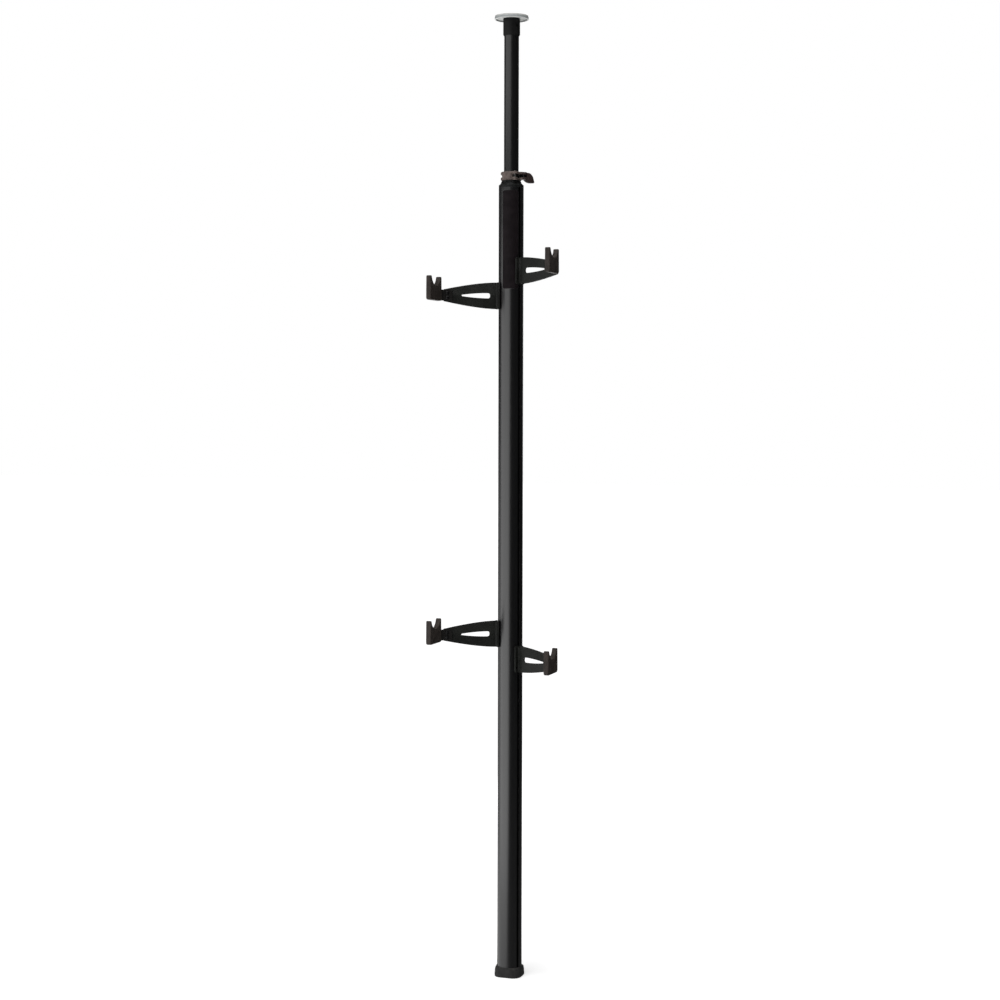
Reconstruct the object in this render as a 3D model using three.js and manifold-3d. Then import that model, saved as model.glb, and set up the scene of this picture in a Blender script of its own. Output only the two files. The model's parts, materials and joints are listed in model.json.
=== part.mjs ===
// Bike storage tower: a column jammed between floor and ceiling that carries four arms with padded cradles.
// Millimetres, +Z up. The origin is on the floor at the column's axis, and the bikes hang on the -Y side.

import * as THREE from "three";
import { mergeVertices } from "three/addons/utils/BufferGeometryUtils.js";
import Module from "manifold-3d";

const wasm = await Module();
wasm.setup();

// Fits and cutting allowances
const seatGap = 0.3;
const slideGap = 0.15;
const runGap = 0.08;
const overrun = 1;
const weldTolerance = 0.001;

// Fineness of round shapes
const arcStep = THREE.MathUtils.degToRad(7.5);
const wideSides = 48;
const tubeSides = 40;
const pinSides = 24;
const screwSides = 14;
const hexSides = 6;
const curveDivisions = 7;

// Rubber boot on the floor
const bootHalfWidth = 34.4;
const bootHalfDepth = 33;
const bootCorner = 20;
const bootSole = 4;
const bootHeight = 25.5;
const bootEdgeHeight = 22;
const bootShoulder = 1.6;
const bootLipWall = 1.6;
const bootBulge = 0.4;
const bootBulgeHeight = 5;
const bootFoldHeight = 17;

// Column extrusion
const columnRadius = 31.5;
const columnWall = 2.3;
const columnLength = 2005.7;
const slotAzimuth = THREE.MathUtils.degToRad(60);
const slotMouth = 6.4;
const slotLip = 2.6;
const slotWidth = 15;
const slotDepth = 5;
const channelWall = 2;

// Plug in the column's lower end
const plugHeight = 30;
const plugHoleRadius = 9;

// Label let into the column
const labelHeight = 246;
const labelTopDrop = 8;
const labelSpan = THREE.MathUtils.degToRad(75);
const labelAzimuth = THREE.MathUtils.degToRad(15);
const labelThickness = 0.35;
const labelPocket = 0.7;
const labelCorner = 5;

// Cap on the column's upper end, with the split neck that grips the upper tube
const capSkirt = 35;
const capRim = 6;
const capShoulder = 7.5;
const neckRadius = 23;
const neckHeight = 26;
const neckSlitWidth = 2;
const neckSlitDepth = 20;
const capRibCount = 8;
const capRibWidth = 3;
const capRibReach = 1;
const capRibFoot = 3.6;
const capRibStep = 2.1;
const capRibTurn = THREE.MathUtils.degToRad(-14);
const capScrewRadius = 2.5;
const capScrewLength = 9;
const capScrewHead = 4.4;
const capScrewHeadHeight = 2.4;

// Clamp ring round the neck
const ringHeight = 21.4;
const ringRise = 4.5;
const ringWall = 3.3;
const ringEdge = 1.8;
const ringWindowHeight = 7.4;
const ringWindowWidth = 26;
const ringWindowAzimuth = THREE.MathUtils.degToRad(-71);
const ringSplit = 2.4;
const ringSplitFromPin = 16;
const boltWayHeight = 9;
const boltWayInset = 4.8;
const boltWayPastBarrel = 8;
const barrelAzimuth = THREE.MathUtils.degToRad(39);
const barrelRadial = 27.6;
const barrelRadius = 3.5;
const barrelLength = 22;
const lugWall = 2.4;
const earThickness = 5;
const earHalfWidth = 7;
const tieBoltRadius = 2;
const tieBoltTail = 5;
const tieEyeRadius = 5;
const tieEyeHeight = 6.5;

// Quick-release lever
const leverPinAzimuth = THREE.MathUtils.degToRad(90);
const leverPinRadial = 33;
const leverPinRadius = 2.5;
const leverPinLength = 19;
const leverCamRadius = 7.5;
const leverCamHeight = 19;
const leverForkSlot = 7.4;
const leverReach = 39.6;
const leverUp = 9.5;
const leverDown = 16.2;
const leverThickness = 8;
const leverTurn = THREE.MathUtils.degToRad(70);

// Upper tube and the pieces inside it
const tubeRadius = 18.6;
const tubeWall = 1.8;
const tubeLength = 1104;
const tubeShown = 372.1;
const bushHeight = 40;
const bushFromEnd = 3;
const springSeatHeight = 8;
const springSeatHole = 5;
const springSeatDrop = 83;

// Sprung ceiling cap
const sleeveWall = 2.45;
const sleeveChamfer = 3;
const sleeveRoof = 4.4;
const sleeveOverlap = 31.9;
const springTravel = 6;
const springTravelSpare = 0.5;
const bossRadius = 7.5;
const bossLength = 8;
const springWire = 1.3;
const springRadius = 12.6;
const springTurns = 9;
const springStepsPerTurn = 10;
const springSides = 6;
const travelScrewRadius = 3;
const travelScrewDrop = 14;
const discRadius = 42.6;
const discRimDepth = 7.2;
const discRecess = 2.7;
const discLip = 4.5;
const discEdgeRound = 1;
const padThickness = 1.5;
const padInset = 0.8;
const discScrewRadius = 3;
const discScrewHead = 5.8;
const discScrewHeadHeight = 3;
const discScrewLength = 13;

// Arms
const upperLeftDrop = 271.4;
const upperRightDrop = 209.2;
const lowerLeftHeight = 881.7;
const lowerRightHeight = 819;
const flangeThickness = 4.2;
const flangeWidth = 28;
const flangeHeight = 67.4;
const flangeCorner = 4;
const armThickness = 4.4;
const armReach = 173.5;
const armRootHalf = 33.5;
const armTipHalf = 15.6;
const armTipCorner = 4;
const armBendShare = 0.36;
const armSlotStart = 53.8;
const armSlotFromTip = 46.5;
const armSlotRootHalf = 6.6;
const armSlotTipHalf = 1.9;
const armSlotCorner = 6;
const armWeldLeg = 3;
const keyHeight = 56;
const lockScrewRadius = 3;
const lockScrewOut = 9;
const lockScrewUp = 21;
const lockScrewSunk = 0.5;

// Cradles
const cradlePastTip = 3.63;
const cradleAhead = 58.75;
const cradleLength = 78;
const cradleTopLength = 75.5;
const cradleRise = 44.3;
const cradleDrop = 15.6;
const cradleThickness = 13.2;
const cradleCorner = 7;
const prongCorner = 2.6;
const notchRadius = 33;
const notchDepth = 22.8;
const coverRound = 1.6;
const coverWall = 3;
const yokeThickness = 4.5;
const yokeProngDrop = 12;
const tailHalfHeight = 13.6;
const tailLap = 22;
const tailBendRadius = 10;
const tailInYoke = 24;
const yokeScrewRadius = 2.5;
const yokeScrewHead = 4.3;
const yokeScrewHeadHeight = 2.6;
const yokeScrewFromTip = 9;
const yokeScrewUp = 6;

// Sockets for hex keys, as a share of the screw that carries them
const socketWidthShare = 0.55;
const socketDepthShare = 0.6;

// Heights worked out from the sizes above
const columnBottom = bootSole + seatGap;
const columnTop = columnBottom + columnLength;
const capBottom = columnTop + seatGap;
const neckBottom = capBottom + capRim + capShoulder;
const neckTop = neckBottom + neckHeight;
const ringBottom = neckBottom + ringRise;
const ringMiddle = ringBottom + ringHeight / 2;
const ringTop = ringBottom + ringHeight;
const tubeTop = ringTop + tubeShown;
const tubeBottom = tubeTop - tubeLength;
const sleeveInnerTop = tubeTop + springTravel + springTravelSpare;
const sleeveTop = sleeveInnerTop + sleeveRoof;
const sleeveBottom = tubeTop - sleeveOverlap;
const discFloor = sleeveTop + seatGap;
const discBottom = discFloor - discRecess;
const discTop = discBottom + discRimDepth;
const padBottom = discTop + seatGap;
const padTop = padBottom + padThickness;
const springSeatTop = tubeTop - springSeatDrop;
const travelScrewHeight = sleeveInnerTop - travelScrewDrop;
const upperLeftHeight = columnTop - upperLeftDrop;
const upperRightHeight = columnTop - upperRightDrop;

// Radii and distances worked out from the sizes above
const boreRadius = columnRadius - columnWall;
const slotFloor = columnRadius - slotLip - slotDepth;
const bossFace = slotFloor - channelWall;
const neckBore = tubeRadius + slideGap;
const ringInner = neckRadius + seatGap;
const ringOuter = ringInner + ringWall;
const tubeInner = tubeRadius - tubeWall;
const sleeveRadius = tubeRadius + slideGap + sleeveWall;
const flangeBack = columnRadius + seatGap;
const flangeFace = flangeBack + flangeThickness;
const notchCentre = cradleRise + notchRadius - notchDepth;
const armSlotEnd = armReach - armSlotFromTip;
const cradleOut = (armReach + cradlePastTip) * Math.sin(slotAzimuth);
const cradleForward = armReach * Math.cos(slotAzimuth) + cradleAhead;

// Finishes
const paintedBlack = () => new THREE.MeshStandardMaterial({ color: 0x2f3031, roughness: 0.42, metalness: 0.25 });
const columnBlack = () => new THREE.MeshStandardMaterial({ color: 0x242425, roughness: 0.3, metalness: 0.55 });
const rubberBlack = () => new THREE.MeshStandardMaterial({ color: 0x2b2826, roughness: 0.78, metalness: 0 });
const plasticBlack = () => new THREE.MeshStandardMaterial({ color: 0x232323, roughness: 0.5, metalness: 0 });
const warmGrey = () => new THREE.MeshStandardMaterial({ color: 0x5d5553, roughness: 0.5, metalness: 0.35 });
const brightSteel = () => new THREE.MeshStandardMaterial({ color: 0xa9a9a6, roughness: 0.3, metalness: 1 });
const darkSteel = () => new THREE.MeshStandardMaterial({ color: 0x3a3a3b, roughness: 0.4, metalness: 0.9 });
const paleGrey = () => new THREE.MeshStandardMaterial({ color: 0xa3abad, roughness: 0.55, metalness: 0.1 });
const labelInk = () => new THREE.MeshStandardMaterial({ color: 0x1f1c1e, roughness: 0.45, metalness: 0 });

// Closed geometry to a solid with its faces pointing out
function solidOf(geometry) {
  const bare = geometry.clone();
  bare.deleteAttribute("normal");
  bare.deleteAttribute("uv");
  const welded = mergeVertices(bare, weldTolerance);
  const position = welded.attributes.position;
  const corners = [];
  const a = new THREE.Vector3();
  const b = new THREE.Vector3();
  const c = new THREE.Vector3();
  let volume = 0;
  for (let i = 0; i < welded.index.count; i += 3) {
    const [ia, ib, ic] = [0, 1, 2].map((k) => welded.index.getX(i + k));
    if (ia === ib || ib === ic || ic === ia) continue;
    a.fromBufferAttribute(position, ia);
    b.fromBufferAttribute(position, ib);
    c.fromBufferAttribute(position, ic);
    volume += a.dot(b.cross(c));
    corners.push(ia, ib, ic);
  }
  if (volume < 0) corners.reverse();
  return new wasm.Manifold(new wasm.Mesh({
    numProp: 3,
    vertProperties: new Float32Array(position.array),
    triVerts: new Uint32Array(corners),
  }));
}

// Solid back to a geometry that three.js can show
function geometryOf(solid) {
  const mesh = solid.getMesh();
  const geometry = new THREE.BufferGeometry();
  geometry.setAttribute("position", new THREE.BufferAttribute(new Float32Array(mesh.vertProperties), 3));
  geometry.setIndex(new THREE.BufferAttribute(new Uint32Array(mesh.triVerts), 1));
  geometry.computeVertexNormals();
  return geometry;
}

// Named mesh made from a solid
function piece(name, solid, finish) {
  const mesh = new THREE.Mesh(geometryOf(solid), finish());
  mesh.name = name;
  return mesh;
}

const join = (...solids) => solids.reduce((whole, solid) => whole.add(solid));
const cut = (solid, ...tools) => tools.reduce((rest, tool) => rest.subtract(tool), solid);

// Unit vector in plan at an azimuth counted from the front towards the right
const outward = (azimuth) => new THREE.Vector3(Math.sin(azimuth), -Math.cos(azimuth), 0);

// Unit vector in plan square to outward, towards growing azimuth
const sideways = (azimuth) => new THREE.Vector3(Math.cos(azimuth), Math.sin(azimuth), 0);

// Point in plan at a radial and a sideways distance from the axis
function planPoint(azimuth, radial, across) {
  const point = outward(azimuth).multiplyScalar(radial).addScaledVector(sideways(azimuth), across);
  return new THREE.Vector2(point.x, point.y);
}

// Upright prism over an outline in plan
function prism(outline, bottom, height, holes = []) {
  const shape = outline instanceof THREE.Shape ? outline : new THREE.Shape(outline);
  holes.forEach((hole) => shape.holes.push(new THREE.Path(hole)));
  const geometry = new THREE.ExtrudeGeometry(shape, {
    depth: height,
    bevelEnabled: false,
    curveSegments: curveDivisions,
  });
  return geometry.translate(0, 0, bottom);
}

// Round solid about the vertical axis from a profile of radius and height pairs
function turned(profile, sides) {
  const points = profile.map(([radius, height]) => new THREE.Vector2(radius, height));
  return new THREE.LatheGeometry(points, sides).rotateX(Math.PI / 2);
}

// Upright cylinder between two heights, moved in plan
function post(radius, bottom, top, sides, centre = new THREE.Vector2()) {
  const profile = [[0, bottom], [radius, bottom], [radius, top], [0, top]];
  return turned(profile, sides).translate(centre.x, centre.y, 0);
}

// Hollow round profile, closed on itself
function hollowProfile(inner, outer, bottom, top) {
  return [[inner, bottom], [outer, bottom], [outer, top], [inner, top], [inner, bottom]];
}

// Turns a geometry so that its +Z points along an axis, then moves it
function aim(geometry, direction, origin) {
  const turn = new THREE.Quaternion().setFromUnitVectors(new THREE.Vector3(0, 0, 1), direction);
  return geometry.applyQuaternion(turn).translate(origin.x, origin.y, origin.z);
}

// Box with its length along a direction in plan
function barInPlan(direction, from, to, near, far, bottom, top, origin) {
  const across = new THREE.Vector3(direction.y, -direction.x, 0);
  const corner = (along, out) => {
    const point = origin.clone().addScaledVector(direction, along).addScaledVector(across, out);
    return new THREE.Vector2(point.x, point.y);
  };
  const outline = [corner(from, near), corner(to, near), corner(to, far), corner(from, far)];
  return prism(outline, bottom, top - bottom);
}

// Round screw whose head lies at the far end of its +Z axis, with a hex socket in the head
function socketScrew(shank, length, head, headHeight) {
  const chamfer = headHeight * socketWidthShare;
  const profile = [
    [0, 0],
    [shank, 0],
    [shank, length],
    [head, length],
    [head, length + headHeight - chamfer / 2],
    [head - chamfer, length + headHeight],
    [0, length + headHeight],
  ];
  const socketDepth = headHeight * socketDepthShare;
  const socket = post(shank * socketWidthShare, -socketDepth, overrun, hexSides);
  return { profile, socket: socket.translate(0, 0, length + headHeight) };
}

// Points of an arc about the axis
function arcPoints(radius, from, to) {
  const count = Math.max(1, Math.ceil((to - from) / arcStep));
  const azimuths = Array.from({ length: count + 1 }, (_, i) => from + ((to - from) * i) / count);
  return azimuths.map((azimuth) => planPoint(azimuth, radius, 0));
}

// Outline that is round but for the two slots, where it follows steps of radial and half-width pairs
function slottedOutline(radius, steps) {
  const half = Math.asin(steps[0][1] / radius);
  const slots = [-slotAzimuth, slotAzimuth];
  const next = [slotAzimuth, 2 * Math.PI - slotAzimuth];
  return slots.flatMap((azimuth, i) => [
    ...steps.map(([radial, width]) => planPoint(azimuth, radial, -width)),
    ...[...steps].reverse().map(([radial, width]) => planPoint(azimuth, radial, width)),
    ...arcPoints(radius, azimuth + half, next[i] - half).slice(1, -1),
  ]);
}

// Outline of the column's bore, or of what fits in it with a gap
function boreOutline(gap) {
  const radius = boreRadius - gap;
  const width = slotWidth / 2 + channelWall + gap;
  return slottedOutline(radius, [[Math.sqrt(radius ** 2 - width ** 2), width], [bossFace - gap, width]]);
}

// Outline of the column's outside with its two T slots
function columnOutline() {
  const mouth = slotMouth / 2;
  const width = slotWidth / 2;
  return slottedOutline(columnRadius, [
    [Math.sqrt(columnRadius ** 2 - mouth ** 2), mouth],
    [columnRadius - slotLip, mouth],
    [columnRadius - slotLip, width],
    [slotFloor, width],
  ]);
}

// Ring of points round a rectangle with round corners
function roundedRing(halfWidth, halfDepth, corner, height) {
  const centres = [[1, 1], [-1, 1], [-1, -1], [1, -1]];
  return centres.flatMap(([sx, sy], quarter) => Array.from({ length: curveDivisions }, (_, i) => {
    const angle = (quarter + i / (curveDivisions - 1)) * (Math.PI / 2);
    const x = sx * (halfWidth - corner) + corner * Math.cos(angle);
    const y = sy * (halfDepth - corner) + corner * Math.sin(angle);
    return new THREE.Vector3(x, y, height);
  }));
}

// Skin through rings of equal count, closed by a fan at each end
function loft(rings) {
  const count = rings[0].length;
  const points = rings.flat();
  const faces = [];
  for (let level = 0; level < rings.length - 1; level += 1) {
    for (let i = 0; i < count; i += 1) {
      const a = level * count + i;
      const b = level * count + ((i + 1) % count);
      faces.push(a, b, b + count, a, b + count, a + count);
    }
  }
  const first = points.push(new THREE.Vector3(0, 0, rings[0][0].z)) - 1;
  const last = points.push(new THREE.Vector3(0, 0, rings[rings.length - 1][0].z)) - 1;
  const top = (rings.length - 1) * count;
  for (let i = 0; i < count; i += 1) {
    const j = (i + 1) % count;
    faces.push(first, j, i, last, top + i, top + j);
  }
  const geometry = new THREE.BufferGeometry().setFromPoints(points);
  geometry.setIndex(faces);
  return geometry;
}

// Boot: a rounded square that flares to the floor, with a round socket for the column
function boot() {
  const lip = columnRadius + seatGap + bootLipWall;
  const halfTop = Math.max(lip, bootHalfWidth - bootShoulder);
  const bulgeWidth = bootHalfWidth + bootBulge;
  const outside = loft([
    roundedRing(bootHalfWidth, bootHalfDepth, bootCorner, 0),
    roundedRing(bulgeWidth, bootHalfDepth + bootBulge, bootCorner, bootBulgeHeight),
    roundedRing(bootHalfWidth - bootBulge, bootHalfDepth, bootCorner + bootBulge, bootFoldHeight),
    roundedRing(halfTop, bootHalfDepth, bootCorner + bootShoulder, bootEdgeHeight),
    roundedRing(lip, lip, lip, bootHeight),
  ]);
  const socket = post(columnRadius + seatGap, bootSole, bootHeight + overrun, wideSides);
  return cut(solidOf(outside), solidOf(socket));
}

// Plug that stiffens the column's lower end
function footPlug() {
  const hole = post(plugHoleRadius, columnBottom - overrun, columnBottom + plugHeight + overrun, pinSides);
  return cut(solidOf(prism(boreOutline(seatGap), columnBottom, plugHeight)), solidOf(hole));
}

// Curved sheet on the column between two radii, with the label's outline grown by a margin
function labelSheet(inner, outer, margin) {
  const halfWidth = columnRadius * Math.sin(labelSpan / 2) + margin;
  const halfHeight = labelHeight / 2 + margin;
  const middle = columnTop - labelTopDrop - labelHeight / 2;
  const shell = turned(hollowProfile(inner, outer, middle - halfHeight, middle + halfHeight), wideSides);
  const window = roundedPanel(halfWidth, halfHeight, labelCorner, columnRadius + overrun);
  window.applyMatrix4(new THREE.Matrix4().makeBasis(
    sideways(labelAzimuth),
    new THREE.Vector3(0, 0, 1),
    outward(labelAzimuth),
  ));
  return solidOf(shell).intersect(solidOf(window.translate(0, 0, middle)));
}

// Flat panel with round corners, in the XY plane and as thick as given
function roundedPanel(halfWidth, halfHeight, corner, thickness) {
  const ring = roundedRing(halfWidth, halfHeight, corner, 0);
  return prism(ring.map((point) => new THREE.Vector2(point.x, point.y)), 0, thickness);
}

// Column extrusion with its bore, T slots and the label's pocket
function column() {
  const shape = prism(columnOutline(), columnBottom, columnLength, [boreOutline(0)]);
  const pocket = labelSheet(columnRadius - labelPocket, columnRadius + overrun, seatGap);
  const screwWay = aim(
    post(capScrewRadius + seatGap, 0, columnWall + 2 * overrun, screwSides),
    outward(Math.PI),
    outward(Math.PI).multiplyScalar(boreRadius - overrun).setZ(columnTop - capSkirt / 2),
  );
  return cut(solidOf(shape), pocket, solidOf(screwWay));
}

function label() {
  const inner = columnRadius - labelPocket + seatGap;
  return labelSheet(inner, inner + labelThickness, 0);
}

// Cap: a skirt in the bore, a rim on the column's end, a cone and the split neck
function columnCap() {
  const profile = [
    [0, capBottom],
    [columnRadius, capBottom],
    [columnRadius, capBottom + capRim],
    [neckRadius, neckBottom],
    [neckRadius, neckTop],
    [0, neckTop],
  ];
  const skirt = prism(boreOutline(seatGap), columnTop - capSkirt, capSkirt + 2 * seatGap);
  const rimTop = capBottom + capRim;
  const ribOutline = [
    [neckRadius - overrun, rimTop],
    [columnRadius - capRibFoot, rimTop],
    [columnRadius - capRibFoot, rimTop + capRibStep],
    [neckRadius + capRibReach, ringBottom - seatGap],
    [neckRadius - overrun, ringBottom - seatGap],
  ].map(([radial, height]) => new THREE.Vector2(radial, height));
  const ribs = Array.from({ length: capRibCount }, (_, i) => {
    const azimuth = capRibTurn + (i * 2 * Math.PI) / capRibCount;
    const rib = prism(ribOutline, -capRibWidth / 2, capRibWidth);
    return solidOf(rib.applyMatrix4(new THREE.Matrix4().makeBasis(
      outward(azimuth),
      new THREE.Vector3(0, 0, 1),
      sideways(azimuth).negate(),
    )));
  });
  const bore = post(neckBore, columnTop - capSkirt - overrun, neckTop + overrun, tubeSides);
  const reach = neckRadius + overrun;
  const slits = [Math.PI / 4, -Math.PI / 4].map((azimuth) => {
    const span = [-reach, reach, -neckSlitWidth / 2, neckSlitWidth / 2];
    const heights = [neckTop - neckSlitDepth, neckTop + overrun];
    return solidOf(barInPlan(outward(azimuth), ...span, ...heights, new THREE.Vector3()));
  });
  const screwHole = aim(
    post(capScrewRadius + seatGap, 0, capScrewLength + overrun, screwSides),
    outward(Math.PI),
    outward(Math.PI).multiplyScalar(boreRadius - capScrewLength).setZ(columnTop - capSkirt / 2),
  );
  const whole = join(solidOf(turned(profile, wideSides)), solidOf(skirt), ...ribs);
  return cut(whole, solidOf(bore), ...slits, solidOf(screwHole));
}

// Screw at the back that holds the cap in the column
function capScrew() {
  const length = columnWall + capScrewLength - seatGap;
  const { profile, socket } = socketScrew(capScrewRadius, length, capScrewHead, capScrewHeadHeight);
  const start = columnRadius + seatGap - length;
  const origin = outward(Math.PI).multiplyScalar(start).setZ(columnTop - capSkirt / 2);
  return solidOf(aim(turned(profile, screwSides), outward(Math.PI), origin))
    .subtract(solidOf(aim(socket, outward(Math.PI), origin)));
}

// Places of the clamp's barrel and lever pin, and the tie bolt's direction from one to the other
const barrelPlace = outward(barrelAzimuth).multiplyScalar(barrelRadial);
const pinPlace = outward(leverPinAzimuth).multiplyScalar(leverPinRadial);
const tieDirection = pinPlace.clone().sub(barrelPlace).normalize();
const tieSpan = pinPlace.distanceTo(barrelPlace);
const inPlan = (place) => new THREE.Vector2(place.x, place.y);

// Clamp ring: a split band with a lug for the barrel, an ear for the cam and two windows
function clampRing() {
  const band = turned([
    [ringInner, ringBottom],
    [ringOuter - ringEdge, ringBottom],
    [ringOuter, ringBottom + ringEdge],
    [ringOuter, ringTop - ringEdge],
    [ringOuter - ringEdge, ringTop],
    [ringInner, ringTop],
    [ringInner, ringBottom],
  ], wideSides);
  const lugRadius = barrelRadius + seatGap + lugWall;
  const lug = post(lugRadius, ringBottom, ringTop, pinSides, inPlan(barrelPlace));
  const earEnd = -(leverCamRadius + seatGap);
  const earHeights = [ringMiddle - leverCamHeight / 2, ringMiddle + leverCamHeight / 2];
  const ear = barInPlan(
    tieDirection, earEnd - earThickness, earEnd, -earHalfWidth, earHalfWidth, ...earHeights, pinPlace,
  );
  const inside = post(ringInner, ringBottom - overrun, ringTop + overrun, wideSides);
  const barrelHole = post(
    barrelRadius + seatGap, ringBottom - overrun, ringTop + overrun, pinSides, inPlan(barrelPlace),
  );
  const heights = [ringBottom - overrun, ringTop + overrun];
  const splitEnd = -ringSplitFromPin;
  const split = barInPlan(
    tieDirection, splitEnd - ringSplit, splitEnd, -2 * earHalfWidth, 2 * earHalfWidth, ...heights, pinPlace,
  );
  const wayHeights = [ringMiddle - boltWayHeight / 2, ringMiddle + boltWayHeight / 2];
  const wayStart = -(tieSpan + boltWayPastBarrel);
  const boltWay = barInPlan(
    tieDirection, wayStart, overrun, -boltWayInset, 3 * earHalfWidth, ...wayHeights, pinPlace,
  );
  const windowHeights = [ringMiddle - ringWindowHeight / 2, ringMiddle + ringWindowHeight / 2];
  const window = barInPlan(
    outward(ringWindowAzimuth), neckRadius / 2, ringOuter + overrun,
    -ringWindowWidth / 2, ringWindowWidth / 2, ...windowHeights, new THREE.Vector3(),
  );
  const camWay = post(leverCamRadius + seatGap, ...heights, pinSides, inPlan(pinPlace));
  const whole = cut(join(solidOf(band), solidOf(lug), solidOf(ear)), solidOf(inside));
  const ways = [barrelHole, split, boltWay, window, camWay];
  return cut(whole, ...ways.map((way) => solidOf(way)));
}

// Tie bolt: a rod from the barrel to an eye on the lever's pin
function tieBolt() {
  const rod = aim(
    post(tieBoltRadius, -(tieSpan + tieBoltTail), 0, screwSides),
    tieDirection,
    pinPlace.clone().setZ(ringMiddle),
  );
  const eyeHeights = [ringMiddle - tieEyeHeight / 2, ringMiddle + tieEyeHeight / 2];
  const eye = post(tieEyeRadius, ...eyeHeights, pinSides, inPlan(pinPlace));
  const holeHeights = [ringMiddle - tieEyeHeight, ringMiddle + tieEyeHeight];
  const hole = post(leverPinRadius + runGap, ...holeHeights, pinSides, inPlan(pinPlace));
  return cut(join(solidOf(rod), solidOf(eye)), solidOf(hole));
}

// Barrel nut that the tie bolt screws into
function barrel() {
  const heights = [ringMiddle - barrelLength / 2, ringMiddle + barrelLength / 2];
  const round = post(barrelRadius, ...heights, pinSides, inPlan(barrelPlace));
  const thread = aim(
    post(tieBoltRadius + seatGap, -barrelLength, barrelLength, screwSides),
    tieDirection,
    barrelPlace.clone().setZ(ringMiddle),
  );
  return cut(solidOf(round), solidOf(thread));
}

function leverPin() {
  const heights = [ringMiddle - leverPinLength / 2, ringMiddle + leverPinLength / 2];
  return solidOf(post(leverPinRadius, ...heights, pinSides, inPlan(pinPlace)));
}

// Lever: a forked cam head on the pin and a paddle that lies along the ring when closed
function clampLever() {
  const place = (alongShare, upShare) => [leverReach * alongShare, leverUp * upShare];
  const placeLow = (alongShare, downShare) => [leverReach * alongShare, -leverDown * downShare];
  const outline = new THREE.Shape();
  outline.moveTo(0, leverUp);
  outline.lineTo(...place(0.51, 1));
  outline.quadraticCurveTo(...place(0.84, 0.58), ...placeLow(0.91, 0.16));
  outline.lineTo(...placeLow(1, 0.71));
  outline.quadraticCurveTo(...placeLow(1.01, 0.93), ...placeLow(0.9, 0.94));
  outline.lineTo(...placeLow(0.55, 1));
  outline.quadraticCurveTo(...placeLow(0.3, 1), ...placeLow(0.17, 0.78));
  outline.lineTo(0, -leverCamHeight / 2);
  const paddle = new THREE.ExtrudeGeometry(outline, {
    depth: leverThickness / 2,
    bevelThickness: leverThickness / 4,
    bevelSize: leverThickness / 4,
    bevelOffset: -leverThickness / 4,
    bevelSegments: 2,
    curveSegments: curveDivisions,
  });
  const direction = new THREE.Vector3(Math.cos(leverTurn), Math.sin(leverTurn), 0);
  const normal = new THREE.Vector3(Math.sin(leverTurn), -Math.cos(leverTurn), 0);
  paddle.translate(0, 0, -leverThickness / 4);
  paddle.applyMatrix4(new THREE.Matrix4().makeBasis(direction, new THREE.Vector3(0, 0, 1), normal));
  paddle.translate(pinPlace.x, pinPlace.y, ringMiddle);
  const camHeights = [ringMiddle - leverCamHeight / 2, ringMiddle + leverCamHeight / 2];
  const cam = post(leverCamRadius, ...camHeights, pinSides, inPlan(pinPlace));
  const forkHeights = [ringMiddle - leverForkSlot / 2, ringMiddle + leverForkSlot / 2];
  const fork = post(leverCamRadius + overrun, ...forkHeights, pinSides, inPlan(pinPlace));
  const holeHeights = [ringMiddle - leverDown - overrun, ringMiddle + leverDown + overrun];
  const hole = post(leverPinRadius + runGap, ...holeHeights, pinSides, inPlan(pinPlace));
  return cut(join(solidOf(paddle), solidOf(cam)), solidOf(fork), solidOf(hole));
}

// Upper tube with the short slot that the ceiling cap's travel screw runs in
function upperTube() {
  const tube = turned(hollowProfile(tubeInner, tubeRadius, tubeBottom, tubeTop), tubeSides);
  const half = travelScrewRadius + seatGap;
  const slot = barInPlan(
    outward(slotAzimuth), tubeInner - overrun, tubeRadius + overrun, -half, half,
    travelScrewHeight - springTravel - half, travelScrewHeight + half, new THREE.Vector3(),
  );
  return cut(solidOf(tube), solidOf(slot));
}

// Bush on the tube's lower end that follows the column's bore
function guideBush() {
  const bottom = tubeBottom + bushFromEnd;
  const hole = post(tubeRadius + seatGap, bottom - overrun, bottom + bushHeight + overrun, tubeSides);
  return cut(solidOf(prism(boreOutline(slideGap), bottom, bushHeight)), solidOf(hole));
}

function springSeat() {
  const radius = tubeInner - seatGap;
  const profile = hollowProfile(springSeatHole, radius, springSeatTop - springSeatHeight, springSeatTop);
  return solidOf(turned(profile, tubeSides));
}

// Coil between the spring seat and the sleeve's roof
function topSpring() {
  const low = springSeatTop + seatGap + springWire;
  const high = sleeveInnerTop - seatGap - springWire;
  class Helix extends THREE.Curve {
    getPoint(t, target = new THREE.Vector3()) {
      const angle = t * springTurns * 2 * Math.PI;
      return target.set(springRadius * Math.cos(angle), springRadius * Math.sin(angle), low + (high - low) * t);
    }
  }
  const section = new THREE.Shape(Array.from({ length: springSides }, (_, i) => {
    const angle = (i * 2 * Math.PI) / springSides;
    return new THREE.Vector2(springWire * Math.cos(angle), springWire * Math.sin(angle));
  }));
  return solidOf(new THREE.ExtrudeGeometry(section, {
    steps: springTurns * springStepsPerTurn,
    extrudePath: new Helix(),
    bevelEnabled: false,
  }));
}

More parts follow.
